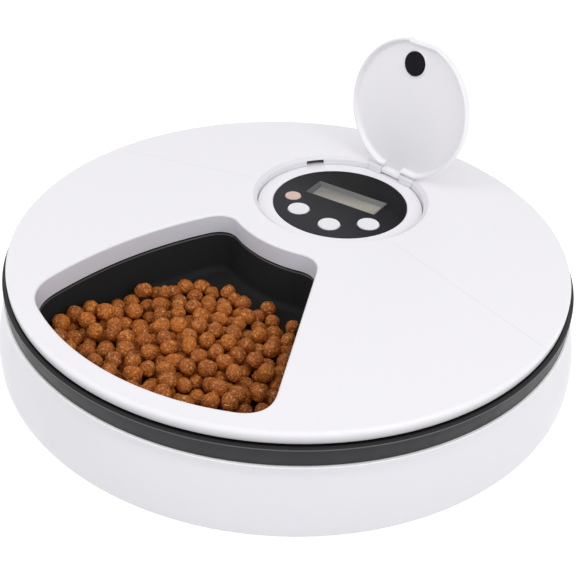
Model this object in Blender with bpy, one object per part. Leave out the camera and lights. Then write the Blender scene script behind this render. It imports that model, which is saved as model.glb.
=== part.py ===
"""Round pet feeder: a battery base, a turning tray of two bowls, and a cover with a timer under a flip lid.

Metres, +Z up. The origin is on the turning axis, at the height of the surface that the feet rest on.
Bearings are degrees from +X, and the front of the feeder is -Y.
"""

import math

import bmesh
import bpy
import numpy as np
from mathutils import Matrix, Vector

# Clearances
SEAT_GAP = 0.0003  # between two pieces that touch
CUT_OVERRUN = 0.003  # how far a cut passes the face that it opens
JOIN_DEPTH = 0.0008  # how far joined shapes run into each other
HAIR = 0.00001  # closeness at which the points of one mesh are one

# Faces round each kind of turned shape
RING_STEPS = 72
PANEL_STEPS = 48
SMALL_STEPS = 20
ARC_STEPS = 4

# Base
FOOT_PROUD = 0.0020
FOOT_RADIUS = 0.0090
FOOT_SEAT_DEPTH = 0.0012
FOOT_INSET = 0.0250  # from the foot of the base's wall to the feet's circle
FOOT_COUNT = 4
BASE_HEIGHT = 0.0376  # white wall, without the feet
BASE_WALL = 0.0024
FLOOR_THICKNESS = 0.0024
BASE_TOP_INSET = 0.0010  # base's rim inside the dark band
BASE_FLARE = 0.0090
BASE_EDGE_ROUND = 0.0040
SHELF_HEIGHT = 0.0314  # top of the inner ledge over the base's underside
SHELF_THICKNESS = 0.0024
SHELF_INSET = 0.0110  # ledge's inner edge inside the dark band
WALL_HEIGHT_SHARES = (0.15, 0.40, 0.65, 0.85)
WALL_FLARE_SHARES = (0.98, 0.80, 0.48, 0.20)

# Dark band on the base
BAND_RADIUS = 0.1650
BAND_WIDTH = 0.0056
BAND_HEIGHT = 0.0100
BAND_TONGUE_DEPTH = 0.0034
BAND_BEVEL = 0.0009
BAND_STEP_HEIGHT = 0.0010
BAND_STEP_WIDTH = 0.0016

# Cover
COVER_INSET = 0.0030  # cover's edge inside the dark band
COVER_EDGE_HEIGHT = 0.0060
COVER_EDGE_ROUND = 0.0044
COVER_PLATE = 0.0024
COVER_SKIRT_DEPTH = 0.0048
COVER_SKIRT_WIDTH = 0.0018

# Window in the cover. Its inner arc and its right side are laid out from a point by the control well.
WINDOW_EDGE_MARGIN = 0.0110  # between the window and the cover's edge
WINDOW_ARC_BEARING = 58.2
WINDOW_ARC_DISTANCE = 0.0588
WINDOW_INNER_RADIUS = 0.0722
WINDOW_RIGHT_BEARING = -100.3
WINDOW_INNER_BEARING = -160.8
WINDOW_OUTER_BEARING = -155.3
WINDOW_LEFT_BULGE = 0.0103
WINDOW_FILLET = 0.0150
WINDOW_SKIRT_DEPTH = 0.0127
WINDOW_SKIRT_WALL = 0.0024
WINDOW_EDGE_ROUND = 0.0012

# Control well in the cover
CONTROL_BEARING = 59.42
CONTROL_DISTANCE = 0.0613
WELL_RADIUS = 0.0536
WELL_WALL = 0.0028
WELL_WALL_DEPTH = 0.0077
WELL_EDGE_ROUND = 0.0026
WELL_SLOT_BEARING = 107.5
WELL_SLOT_WIDTH = 0.0124
WELL_SLOT_HEIGHT = 0.0027
WELL_SLOT_DEPTH = 0.0016
WELL_SLOT_DROP = 0.0030

# Control unit in the well
SEAT_RING_DROP = 0.0055  # white ring under the top of the cover
SEAT_RING_CLEARANCE = 0.0006
HOUSING_FLOOR = 0.0014
HOUSING_DEPTH = 0.0068
HOUSING_FLANGE_RADIUS = 0.0615
CAVITY_RADIUS = 0.0412
PANEL_RADIUS = 0.0432
PANEL_THICKNESS = 0.0009
BOARD_RADIUS = 0.0404
BOARD_THICKNESS = 0.0008
BUTTON_RADIUS = 0.0072
SET_BUTTON_RADIUS = 0.0054
BUTTON_PROUD = 0.0009
BUTTON_DOME = 0.0004
BUTTON_CLEARANCE = 0.0004
BUTTON_LEDGE = 0.0010
BUTTON_LEDGE_THICKNESS = 0.0006
BUTTON_TRAVEL = 0.0006
SWITCH_RADIUS = 0.0030
BUTTON_PLACES = {  # bearing and distance from the middle of the panel, and radius of the cap
    "left": (-159.2, 0.02845, BUTTON_RADIUS),
    "middle": (-105.2, 0.0286, BUTTON_RADIUS),
    "right": (-56.4, 0.0307, BUTTON_RADIUS),
    "set": (168.5, 0.0311, SET_BUTTON_RADIUS),
}
DISPLAY_BEARING = 58.2
DISPLAY_OFFSET = 0.0083
DISPLAY_WIDTH = 0.0510
DISPLAY_HEIGHT = 0.0180
DISPLAY_FRAME = 0.0020
DISPLAY_SLOPE = 0.0022
DISPLAY_RECESS = 0.0018
LENS_THICKNESS = 0.0005

# Screws
SCREW_RADIUS = 0.0011
SCREW_HEAD_RADIUS = 0.0024
SCREW_HEAD_HEIGHT = 0.0011
SCREW_HEAD_SINK = 0.0002
SCREW_GRIP = 0.0034  # length in the boss
BOSS_RADIUS = 0.0030
HOUSING_SCREW_CIRCLE = 0.0580
HOUSING_SCREW_COUNT = 4

# Flip lid and its hinge
HINGE_BEARING = 46.5
HINGE_DISTANCE = 0.0525  # from the middle of the well
HINGE_DROP = 0.0026  # axis under the top of the cover
LID_RADIUS = 0.0455
LID_REACH = 0.0464  # from the hinge's axis to the middle of the lid
LID_OFFSET = -0.0038  # of the lid's middle, along the hinge
LID_PLATE = 0.0018
LID_WALL = 0.0016
LID_EDGE_ROUND = 0.0012
LID_OPEN_ANGLE = 96.0
TONGUE_WIDTH = 0.0154
BARREL_RADIUS = 0.0022
KNUCKLE_RADIUS = 0.0030
KNUCKLE_WIDTH = 0.0104
HINGE_BLOCK_REACH = 0.0058
HINGE_CLEARANCE = 0.0005
PIN_RADIUS = 0.0008
PIN_END_MARGIN = 0.0012
TAB_WIDTH = 0.0200
TAB_OFFSET = -0.0025
TAB_FLAT = 0.0018  # the lid's edge is cut straight this far inside its round
TAB_REACH = 0.0010
TAB_THICKNESS = 0.0018
PAD_RADIUS = 0.0076
PAD_THICKNESS = 0.0012
PAD_OFFSET = 0.0018
PAD_DISTANCE = 0.0297

# Tray
TRAY_GAP = 0.0010  # under the window's skirt
TRAY_CLEARANCE = 0.0020  # to the inside of the dark band
TRAY_PLATE = 0.0020
TRAY_WALL = 0.0018
TRAY_FLANGE_DEPTH = 0.0075
BOWL_COUNT = 2
BOWL_DEPTH = 0.0249
BOWL_DRAFT = 0.0032
BOWL_ROUND = 0.0050
BOWL_ROUND_SHARES = ((1.0, 0.0), (0.45, 0.15), (0.15, 0.45), (0.0, 1.0))
HUB_RADIUS = 0.0126
HUB_DEPTH = 0.0110
GLIDE_CLEARANCE = 0.0004
GLIDE_WIDTH = 0.0046

# Drive in the middle of the base
POST_RADIUS = 0.0100
POST_BORE_RADIUS = 0.0084
POST_FLANGE_RADIUS = 0.0210
POST_FLANGE_THICKNESS = 0.0028
POST_SOLID_HEIGHT = 0.0080
POST_SCREW_CIRCLE = 0.0155
POST_SCREW_BEARING = 20.0
POST_SCREW_COUNT = 3
HUB_CLEARANCE = 0.0006
MOTOR_LENGTH = 0.0240
MOTOR_RADIUS = 0.0060
MOTOR_HALF_DEPTH = 0.0050
MOTOR_BEARING_RADIUS = 0.0035
RETAINER_THICKNESS = 0.0018
SHAFT_RADIUS = 0.0020
SHAFT_CLEARANCE = 0.0003
SHAFT_FLAT = 0.0005

# Battery bay
CELL_RADIUS = 0.00525
CELL_LENGTH = 0.0445
CELL_COUNT = 4
CELL_NUB_RADIUS = 0.0019
CELL_NUB_LENGTH = 0.0008
BAY_DISTANCE = 0.0850  # middle of the bay from the turning axis
BAY_WALL = 0.0012
CONTACT_THICKNESS = 0.0005
DOOR_THICKNESS = 0.0014
DOOR_LAP = 0.0026
DOOR_TRAVEL = 0.0120
DOOR_GRIP_COUNT = 4
DOOR_GRIP_WIDTH = 0.0012
DOOR_GRIP_DEPTH = 0.0005
DOOR_GRIP_LENGTH = 0.0220
DOOR_GRIP_PITCH = 0.0030

# Food in the front bowl, with its heights over the bowl's floor
FOOD_INNER_HEIGHT = 0.0100
FOOD_OUTER_HEIGHT = 0.0240
FOOD_BARE = 0.0210  # widest strip of bare floor behind the heap
FOOD_POINTS = 108  # round the heap
FOOD_TOP_RINGS = 17
FOOD_WALL_GAP = 0.0020
FOOD_SIDE_SHARES = (0.0, 0.12, 0.35, 0.70, 1.0)
BALL_RADIUS = 0.0050
BALL_COUNT = 205
BALL_TRIES = 1600
BALL_ROUNDS = 60
BALL_PUSH_SHARE = 0.35
BALL_DROP = 0.0002  # in each round
BALL_SEED = 7

# Heights that follow from the sizes above
BASE_UNDERSIDE = FOOT_PROUD
FLOOR_TOP = BASE_UNDERSIDE + FLOOR_THICKNESS
BASE_TOP = BASE_UNDERSIDE + BASE_HEIGHT
SHELF_TOP = BASE_UNDERSIDE + SHELF_HEIGHT
BAND_BOTTOM = BASE_TOP + SEAT_GAP
BAND_TOP = BAND_BOTTOM + BAND_HEIGHT
BAND_STEP_TOP = BAND_TOP + BAND_STEP_HEIGHT
COVER_BOTTOM = BAND_STEP_TOP + SEAT_GAP
COVER_TOP = COVER_BOTTOM + COVER_EDGE_HEIGHT
PLATE_UNDERSIDE = COVER_TOP - COVER_PLATE
WINDOW_SKIRT_BOTTOM = COVER_TOP - WINDOW_SKIRT_DEPTH
WELL_WALL_BOTTOM = COVER_TOP - WELL_WALL_DEPTH
TRAY_TOP = WINDOW_SKIRT_BOTTOM - TRAY_GAP
TRAY_PLATE_BOTTOM = TRAY_TOP - TRAY_PLATE
BOWL_FLOOR = TRAY_TOP - BOWL_DEPTH
FLANGE_BOTTOM = TRAY_TOP - TRAY_FLANGE_DEPTH
SEAT_RING_TOP = COVER_TOP - SEAT_RING_DROP
HOUSING_BOTTOM = SEAT_RING_TOP - HOUSING_DEPTH
HOUSING_FLANGE_TOP = WELL_WALL_BOTTOM - SEAT_GAP
PANEL_BOTTOM = SEAT_RING_TOP - PANEL_THICKNESS
PANEL_SEAT = PANEL_BOTTOM - SEAT_GAP
BOARD_BOTTOM = HOUSING_BOTTOM + HOUSING_FLOOR + SEAT_GAP
BOARD_TOP = BOARD_BOTTOM + BOARD_THICKNESS
LEDGE_BOTTOM = PANEL_SEAT - BUTTON_LEDGE_THICKNESS
SWITCH_TOP = LEDGE_BOTTOM - BUTTON_TRAVEL - SEAT_GAP
DISPLAY_FLOOR = PANEL_SEAT - DISPLAY_RECESS
HINGE_HEIGHT = COVER_TOP - HINGE_DROP
MOTOR_BOTTOM = FLOOR_TOP + SEAT_GAP + POST_SOLID_HEIGHT + SEAT_GAP
RETAINER_BOTTOM = MOTOR_BOTTOM + MOTOR_LENGTH + SEAT_GAP
POST_TOP = RETAINER_BOTTOM + RETAINER_THICKNESS
DOOR_TOP = BASE_UNDERSIDE + DOOR_THICKNESS
CELL_MIDDLE = DOOR_TOP + SEAT_GAP + CELL_RADIUS
BAY_ROOF = CELL_MIDDLE + CELL_RADIUS + SEAT_GAP

# Widths that follow from the sizes above
BAND_INNER_RADIUS = BAND_RADIUS - BAND_WIDTH
BASE_TOP_RADIUS = BAND_RADIUS - BASE_TOP_INSET
BASE_FLARE_RADIUS = BASE_TOP_RADIUS + BASE_FLARE
FOOT_CIRCLE_RADIUS = BASE_FLARE_RADIUS - FOOT_INSET
SHELF_RADIUS = BAND_RADIUS - SHELF_INSET
COVER_RADIUS = BAND_RADIUS - COVER_INSET
WINDOW_OUTER_RADIUS = COVER_RADIUS - WINDOW_EDGE_MARGIN
TRAY_RADIUS = BAND_INNER_RADIUS - TRAY_CLEARANCE
BASE_INNER_TOP_RADIUS = BASE_TOP_RADIUS - BASE_WALL
CELL_PITCH = 2 * CELL_RADIUS + SEAT_GAP
BAY_WIDTH = CELL_COUNT * CELL_PITCH + SEAT_GAP
BAY_LENGTH = CELL_LENGTH + CELL_NUB_LENGTH + 2 * CONTACT_THICKNESS + 4 * SEAT_GAP
DOOR_WIDTH = BAY_WIDTH + 2 * DOOR_LAP
DOOR_LENGTH = BAY_LENGTH + 2 * DOOR_LAP


def polar(bearing, distance):
    """The point at a bearing and a distance from the turning axis, in plan."""
    angle = math.radians(bearing)
    return Vector((math.cos(angle), math.sin(angle))) * distance


AXIS = Vector((0.0, 0.0))
CONTROL_MIDDLE = polar(CONTROL_BEARING, CONTROL_DISTANCE)
WINDOW_ARC_MIDDLE = polar(WINDOW_ARC_BEARING, WINDOW_ARC_DISTANCE)
HINGE_MIDDLE = CONTROL_MIDDLE + polar(HINGE_BEARING, HINGE_DISTANCE)


# Scene and materials


def clear_scene():
    for obj in list(bpy.data.objects):
        bpy.data.objects.remove(obj, do_unlink=True)


def finish(name, colour, roughness, metallic=0.0, alpha=1.0):
    """A plain Principled material."""
    material = bpy.data.materials.new(name)
    material.use_nodes = True
    shader = material.node_tree.nodes["Principled BSDF"]
    shader.inputs["Base Color"].default_value = (*colour, 1.0)
    shader.inputs["Roughness"].default_value = roughness
    shader.inputs["Metallic"].default_value = metallic
    shader.inputs["Alpha"].default_value = alpha
    material.diffuse_color = (*colour, alpha)
    return material


def make_finishes():
    return {
        "white": finish("white_plastic", (0.90, 0.89, 0.92), 0.38),
        "band": finish("band_plastic", (0.060, 0.060, 0.064), 0.42),
        "tray": finish("tray_plastic", (0.016, 0.016, 0.018), 0.35),
        "panel": finish("panel_gloss", (0.030, 0.030, 0.036), 0.12),
        "button": finish("button_plastic", (0.78, 0.80, 0.83), 0.35),
        "set_button": finish("set_button_plastic", (0.72, 0.50, 0.40), 0.40),
        "display": finish("display_frame", (0.10, 0.10, 0.10), 0.30),
        "lens": finish("clear_lens", (0.80, 0.82, 0.78), 0.05, alpha=0.35),
        "board": finish("circuit_board", (0.02, 0.16, 0.07), 0.45),
        "switch": finish("switch_metal", (0.60, 0.60, 0.60), 0.30, metallic=1.0),
        "steel": finish("steel", (0.62, 0.62, 0.64), 0.30, metallic=1.0),
        "rubber": finish("rubber", (0.03, 0.03, 0.03), 0.80),
        "glide": finish("glide_plastic", (0.80, 0.80, 0.78), 0.30),
        "cell": finish("cell_wrap", (0.10, 0.22, 0.14), 0.35, metallic=0.3),
        "food": finish("food", (0.27, 0.09, 0.03), 0.85),
    }


# Mesh helpers


def to_object(name, bm, material, sharp_angle=35.0):
    """Merges doubles, turns the faces outwards, shades smooth and links the mesh as an object."""
    bmesh.ops.remove_doubles(bm, verts=bm.verts, dist=HAIR)
    bmesh.ops.recalc_face_normals(bm, faces=bm.faces)
    mesh = bpy.data.meshes.new(name)
    bm.to_mesh(mesh)
    bm.free()
    mesh.materials.append(material)
    mesh.shade_smooth()
    mesh.set_sharp_from_angle(angle=math.radians(sharp_angle))
    obj = bpy.data.objects.new(name, mesh)
    bpy.context.scene.collection.objects.link(obj)
    return obj


def turned(name, profile, material, steps, middle=AXIS):
    """A closed profile of (radius, height) points, spun about an upright line through middle."""
    bm = bmesh.new()
    points = [bm.verts.new((radius, 0.0, height)) for radius, height in profile]
    pairs = zip(points, points[1:] + points[:1])
    edges = [bm.edges.new(pair) for pair in pairs if max(vert.co.x for vert in pair) > HAIR]
    up = (0.0, 0.0, 1.0)
    centre = (0.0, 0.0, 0.0)
    bmesh.ops.spin(bm, geom=points + edges, axis=up, cent=centre, angle=math.tau, steps=steps, use_merge=True)
    bmesh.ops.translate(bm, verts=bm.verts, vec=(middle.x, middle.y, 0.0))
    return to_object(name, bm, material)


def loft(name, rings, material):
    """A solid through rings of as many points each, with flat ends."""
    bm = bmesh.new()
    rows = [[bm.verts.new(point) for point in ring] for ring in rings]
    bm.faces.new(rows[0])
    bm.faces.new(rows[-1][::-1])
    for upper, lower in zip(rows, rows[1:]):
        for i in range(len(upper)):
            j = (i + 1) % len(upper)
            bm.faces.new((upper[i], lower[i], lower[j], upper[j]))
    return to_object(name, bm, material)


def at_height(outline, height):
    return [(point.x, point.y, height) for point in outline]


def prism(name, outline, bottom, top, material):
    return loft(name, [at_height(outline, top), at_height(outline, bottom)], material)


def circle(radius, steps, middle=AXIS):
    return [middle + polar(360 * i / steps, radius) for i in range(steps)]


def disc(name, radius, bottom, top, material, middle=AXIS, steps=SMALL_STEPS):
    return prism(name, circle(radius, steps, middle), bottom, top, material)


def rectangle(width, depth, middle=AXIS, bearing=0.0):
    """Corners of a rectangle whose width lies along a bearing."""
    along = polar(bearing, width / 2)
    across = polar(bearing + 90, depth / 2)
    return [middle - along - across, middle + along - across, middle + along + across, middle - along + across]


def boolean(obj, other, operation):
    other.hide_render = True
    other.display_type = "WIRE"
    step = obj.modifiers.new(operation.lower() + "_" + other.name, "BOOLEAN")
    step.operation = operation
    step.object = other
    step.solver = "EXACT"


def cut(obj, cutter):
    boolean(obj, cutter, "DIFFERENCE")


def join(obj, other):
    boolean(obj, other, "UNION")


# Outlines in plan


def arc_between(start, end, middle):
    """A function of 0 to 1 along the arc from start to end about middle, the short way round."""
    first = start - middle
    last = end - middle
    begin = math.atan2(first.y, first.x)
    sweep = (math.atan2(last.y, last.x) - begin + math.pi) % math.tau - math.pi

    def point(share):
        radius = first.length + (last.length - first.length) * share
        return middle + polar(math.degrees(begin + sweep * share), radius)

    return point


def line_between(start, end, bulge=0.0):
    """A function of 0 to 1 along a line that bows by bulge to the left of its direction."""
    side = Vector((start.y - end.y, end.x - start.x)).normalized()

    def point(share):
        return start.lerp(end, share) + side * (4 * bulge * share * (1 - share))

    return point


def length_of(edge):
    marks = [edge(i / RING_STEPS) for i in range(RING_STEPS + 1)]
    return sum((after - before).length for before, after in zip(marks, marks[1:]))


def rounded_outline(edges, fillet, steps):
    """Joins edges end to end, and rounds each corner with a curve that starts a fillet away from it."""
    outline = []
    for edge, following in zip(edges, edges[1:] + edges[:1]):
        trim = fillet / length_of(edge)
        outline += [edge(trim + (1 - 2 * trim) * i / steps) for i in range(steps + 1)]
        start = edge(1 - trim)
        corner = edge(1.0)
        end = following(fillet / length_of(following))
        for i in range(1, ARC_STEPS + 1):
            share = i / (ARC_STEPS + 1)
            outline.append(start.lerp(corner, share).lerp(corner.lerp(end, share), share))
    return outline


def offset_outline(outline, distances):
    """Moves each point of a clockwise outline outwards, by one distance or by a list of them."""
    count = len(outline)
    if not isinstance(distances, list):
        distances = [distances] * count
    moved = []
    for i, point in enumerate(outline):
        before = (point - outline[i - 1]).normalized()
        after = (outline[(i + 1) % count] - point).normalized()
        along = (before + after).normalized()
        moved.append(point + Vector((-along.y, along.x)) * (distances[i] / before.dot(along)))
    return moved


def evened(outline, count):
    """The outline as count points an equal way apart."""
    ends = outline[1:] + outline[:1]
    total = sum((end - start).length for start, end in zip(outline, ends))
    points = []
    walked = 0.0
    for start, end in zip(outline, ends):
        run = (end - start).length
        while len(points) < count and len(points) * total / count < walked + run:
            points.append(start.lerp(end, (len(points) * total / count - walked) / run))
        walked += run
    return points


def ray_meets_circle(start, bearing, radius):
    """Where a ray from start leaves the circle of that radius about the turning axis."""
    direction = polar(bearing, 1.0)
    half = start.dot(direction)
    return start + direction * (math.sqrt(half * half - start.dot(start) + radius * radius) - half)


def window_outline():
    inner_right = WINDOW_ARC_MIDDLE + polar(WINDOW_RIGHT_BEARING, WINDOW_INNER_RADIUS)
    outer_right = ray_meets_circle(WINDOW_ARC_MIDDLE, WINDOW_RIGHT_BEARING, WINDOW_OUTER_RADIUS)
    outer_left = polar(WINDOW_OUTER_BEARING, WINDOW_OUTER_RADIUS)
    inner_left = WINDOW_ARC_MIDDLE + polar(WINDOW_INNER_BEARING, WINDOW_INNER_RADIUS)
    edges = [
        line_between(inner_right, outer_right),
        arc_between(outer_right, outer_left, AXIS),
        line_between(outer_left, inner_left, WINDOW_LEFT_BULGE),
        arc_between(inner_left, inner_right, WINDOW_ARC_MIDDLE),
    ]
    return rounded_outline(edges, WINDOW_FILLET, ARC_STEPS)


def turned_outline(outline, angle):
    turn = Matrix.Rotation(math.radians(angle), 2)
    return [turn @ point for point in outline]


# Base


def base_wall_points(inset):
    """The flared outer wall from its foot to its top, moved inwards by inset."""
    flare = BASE_FLARE_RADIUS - BASE_TOP_RADIUS
    points = []
    for height_share, flare_share in zip(WALL_HEIGHT_SHARES, WALL_FLARE_SHARES):
        radius = BASE_TOP_RADIUS + flare * flare_share - inset
        points.append((radius, BASE_UNDERSIDE + BASE_HEIGHT * height_share))
    return points


def make_base_shell(finishes):
    foot = BASE_FLARE_RADIUS - BASE_EDGE_ROUND
    round_share = 1 - math.sqrt(0.5)
    edge = (BASE_FLARE_RADIUS - BASE_EDGE_ROUND * round_share, BASE_UNDERSIDE + BASE_EDGE_ROUND * round_share)
    shelf_underside = SHELF_TOP - SHELF_THICKNESS
    inner_top = BASE_INNER_TOP_RADIUS
    inner = [point for point in base_wall_points(BASE_WALL)[::-1] if point[1] < shelf_underside - JOIN_DEPTH]
    profile = [(0.0, BASE_UNDERSIDE), (foot, BASE_UNDERSIDE), edge]
    profile += base_wall_points(0.0)
    profile += [(BASE_TOP_RADIUS, BASE_TOP), (inner_top, BASE_TOP), (inner_top, SHELF_TOP)]
    profile += [(SHELF_RADIUS, SHELF_TOP), (SHELF_RADIUS, shelf_underside), (inner_top, shelf_underside)]
    profile += inner
    profile += [(foot, FLOOR_TOP), (0.0, FLOOR_TOP)]
    shell = turned("base_shell", profile, finishes["white"], RING_STEPS)
    add_battery_bay(shell, finishes)
    seat_top = BASE_UNDERSIDE + FOOT_SEAT_DEPTH
    for place in foot_places():
        cut(shell, disc("foot_cut", FOOT_RADIUS + SEAT_GAP, 0.0, seat_top, None, place))
    head_top = BASE_UNDERSIDE + SCREW_HEAD_SINK + SCREW_HEAD_HEIGHT + SEAT_GAP
    for place in post_screw_places():
        cut(shell, disc("head_cut", SCREW_HEAD_RADIUS + SEAT_GAP, 0.0, head_top, None, place))
        cut(shell, disc("screw_cut", SCREW_RADIUS + SEAT_GAP, 0.0, FLOOR_TOP + CUT_OVERRUN, None, place))
    return shell


def foot_places():
    return [polar(360 * (i + 0.5) / FOOT_COUNT, FOOT_CIRCLE_RADIUS) for i in range(FOOT_COUNT)]


def post_screw_places():
    bearings = [POST_SCREW_BEARING + 360 * i / POST_SCREW_COUNT for i in range(POST_SCREW_COUNT)]
    return [polar(bearing, POST_SCREW_CIRCLE) for bearing in bearings]


def add_battery_bay(shell, finishes):
    middle = Vector((0.0, BAY_DISTANCE))
    outer = rectangle(BAY_WIDTH + 2 * BAY_WALL, BAY_LENGTH + 2 * BAY_WALL, middle)
    join(shell, prism("bay_block", outer, BASE_UNDERSIDE + JOIN_DEPTH, BAY_ROOF + BAY_WALL, finishes["white"]))
    slot_middle = middle + Vector((0.0, DOOR_TRAVEL / 2))
    door_slot = rectangle(DOOR_WIDTH + 2 * SEAT_GAP, DOOR_LENGTH + DOOR_TRAVEL + 2 * SEAT_GAP, slot_middle)
    cut(shell, prism("door_cut", door_slot, 0.0, DOOR_TOP + SEAT_GAP, None))
    cut(shell, prism("bay_cut", rectangle(BAY_WIDTH, BAY_LENGTH, middle), 0.0, BAY_ROOF, None))


def make_battery_door(finishes):
    middle = Vector((0.0, BAY_DISTANCE))
    outline = rectangle(DOOR_WIDTH, DOOR_LENGTH, middle)
    door = prism("battery_door", outline, BASE_UNDERSIDE, DOOR_TOP, finishes["white"])
    for i in range(DOOR_GRIP_COUNT):
        row = middle + Vector((0.0, DOOR_LENGTH / 4 + DOOR_GRIP_PITCH * i))
        groove = rectangle(DOOR_GRIP_LENGTH, DOOR_GRIP_WIDTH, row)
        cut(door, prism("grip_cut", groove, 0.0, BASE_UNDERSIDE + DOOR_GRIP_DEPTH, None))


def make_cells(finishes):
    """Cells side by side in the bay, each the other way round from the next."""
    for i in range(CELL_COUNT):
        side = CELL_PITCH * (i - (CELL_COUNT - 1) / 2)
        facing = 1 if i % 2 else -1
        profile = [(0.0, 0.0), (CELL_RADIUS, 0.0), (CELL_RADIUS, CELL_LENGTH), (CELL_NUB_RADIUS, CELL_LENGTH)]
        profile += [(CELL_NUB_RADIUS, CELL_LENGTH + CELL_NUB_LENGTH), (0.0, CELL_LENGTH + CELL_NUB_LENGTH)]
        cell = turned(f"battery_cell_{i + 1}", profile, finishes["cell"], SMALL_STEPS)
        cell.rotation_euler.x = -facing * math.pi / 2
        length = CELL_LENGTH + CELL_NUB_LENGTH
        cell.location = (side, BAY_DISTANCE - facing * length / 2, CELL_MIDDLE)


def make_contacts(finishes):
    """Plates at the two ends of the bay, which join the cells."""
    width = BAY_WIDTH - 2 * SEAT_GAP
    for name, side in (("contact_plate_inner", -1), ("contact_plate_outer", 1)):
        place = BAY_DISTANCE + side * (BAY_LENGTH / 2 - SEAT_GAP - CONTACT_THICKNESS / 2)
        outline = rectangle(width, CONTACT_THICKNESS, Vector((0.0, place)))
        prism(name, outline, DOOR_TOP + SEAT_GAP, BAY_ROOF - SEAT_GAP, finishes["steel"])


def make_feet(finishes):
    for i, place in enumerate(foot_places()):
        top = BASE_UNDERSIDE + FOOT_SEAT_DEPTH - SEAT_GAP
        disc(f"foot_{i + 1}", FOOT_RADIUS, 0.0, top, finishes["rubber"], place)


def make_rim_band(finishes):
    tongue = BASE_INNER_TOP_RADIUS - SEAT_GAP
    step = BAND_INNER_RADIUS + BAND_STEP_WIDTH
    profile = [
        (BAND_INNER_RADIUS, BAND_STEP_TOP),
        (BAND_INNER_RADIUS, BAND_BOTTOM - BAND_TONGUE_DEPTH),
        (tongue, BAND_BOTTOM - BAND_TONGUE_DEPTH),
        (tongue, BAND_BOTTOM),
        (BAND_RADIUS - BAND_BEVEL, BAND_BOTTOM),
        (BAND_RADIUS, BAND_BOTTOM + BAND_BEVEL),
        (BAND_RADIUS, BAND_TOP - BAND_BEVEL),
        (BAND_RADIUS - BAND_BEVEL, BAND_TOP),
        (step, BAND_TOP),
        (step, BAND_STEP_TOP),
    ]
    turned("rim_band", profile, finishes["band"], RING_STEPS)


def make_glide_ring(finishes):
    inner = SHELF_RADIUS + GLIDE_CLEARANCE
    outer = inner + GLIDE_WIDTH
    bottom = SHELF_TOP + SEAT_GAP
    top = FLANGE_BOTTOM - SEAT_GAP
    profile = [(inner, bottom), (outer, bottom), (outer, top), (inner, top)]
    turned("glide_ring", profile, finishes["glide"], RING_STEPS)


# Drive


def make_drive_post(finishes):
    bottom = FLOOR_TOP + SEAT_GAP
    flange_top = bottom + POST_FLANGE_THICKNESS
    bore_floor = bottom + POST_SOLID_HEIGHT
    profile = [
        (0.0, bottom),
        (POST_FLANGE_RADIUS, bottom),
        (POST_FLANGE_RADIUS, flange_top),
        (POST_RADIUS, flange_top),
        (POST_RADIUS, POST_TOP),
        (POST_BORE_RADIUS, POST_TOP),
        (POST_BORE_RADIUS, bore_floor),
        (0.0, bore_floor),
    ]
    post = turned("drive_post", profile, finishes["white"], PANEL_STEPS)
    top = flange_top + CUT_OVERRUN
    for place in post_screw_places():
        cut(post, disc("screw_cut", SCREW_RADIUS + SEAT_GAP, bottom - CUT_OVERRUN, top, None, place))


def flat_sided(radius, half_depth, steps=SMALL_STEPS):
    """A circle with two sides cut flat."""
    return [Vector((point.x, max(-half_depth, min(half_depth, point.y)))) for point in circle(radius, steps)]


def d_outline(radius, flat):
    """A circle with one side cut flat."""
    return [Vector((min(point.x, radius - flat), point.y)) for point in circle(radius, SMALL_STEPS)]


def make_motor(finishes):
    top = MOTOR_BOTTOM + MOTOR_LENGTH
    outline = flat_sided(MOTOR_RADIUS, MOTOR_HALF_DEPTH)
    motor = prism("gear_motor", outline, MOTOR_BOTTOM, top, finishes["steel"])
    nose_top = POST_TOP - SEAT_GAP
    join(motor, disc("motor_nose", MOTOR_BEARING_RADIUS, top - JOIN_DEPTH, nose_top, finishes["steel"]))


def make_motor_retainer(finishes):
    outer = POST_BORE_RADIUS - SEAT_GAP
    inner = MOTOR_BEARING_RADIUS + SEAT_GAP
    profile = [(inner, RETAINER_BOTTOM), (outer, RETAINER_BOTTOM), (outer, POST_TOP), (inner, POST_TOP)]
    turned("motor_retainer", profile, finishes["white"], SMALL_STEPS)


def make_drive_shaft(finishes):
    prism("drive_shaft", d_outline(SHAFT_RADIUS, SHAFT_FLAT), POST_TOP, TRAY_TOP - SEAT_GAP, finishes["steel"])


def make_screw(name, head_bottom, tip, place, finishes):
    head_top = head_bottom + SCREW_HEAD_HEIGHT
    profile = [(0.0, head_bottom), (SCREW_HEAD_RADIUS, head_bottom), (SCREW_HEAD_RADIUS, head_top)]
    profile += [(SCREW_RADIUS, head_top), (SCREW_RADIUS, tip), (0.0, tip)]
    turned(name, profile, finishes["steel"], SMALL_STEPS, place)


def make_post_screws(finishes):
    tip = FLOOR_TOP + POST_FLANGE_THICKNESS
    for i, place in enumerate(post_screw_places()):
        make_screw(f"post_screw_{i + 1}", BASE_UNDERSIDE + SCREW_HEAD_SINK, tip, place, finishes)


# Tray


def bowl_levels():
    """(height, inset) of the inside of a bowl's wall, from its mouth to its floor."""
    levels = [(TRAY_TOP, 0.0)]
    for height_share, inset_share in BOWL_ROUND_SHARES:
        levels.append((BOWL_FLOOR + BOWL_ROUND * height_share, BOWL_DRAFT + BOWL_ROUND * inset_share))
    return levels


def bowl_inset(height):
    """How far the inside of a bowl's wall stands in from its mouth, at a height."""
    levels = bowl_levels()
    for (upper, upper_inset), (lower, lower_inset) in zip(levels, levels[1:]):
        if height >= lower:
            return upper_inset + (lower_inset - upper_inset) * (upper - height) / (upper - lower)
    return levels[-1][1]


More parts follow.
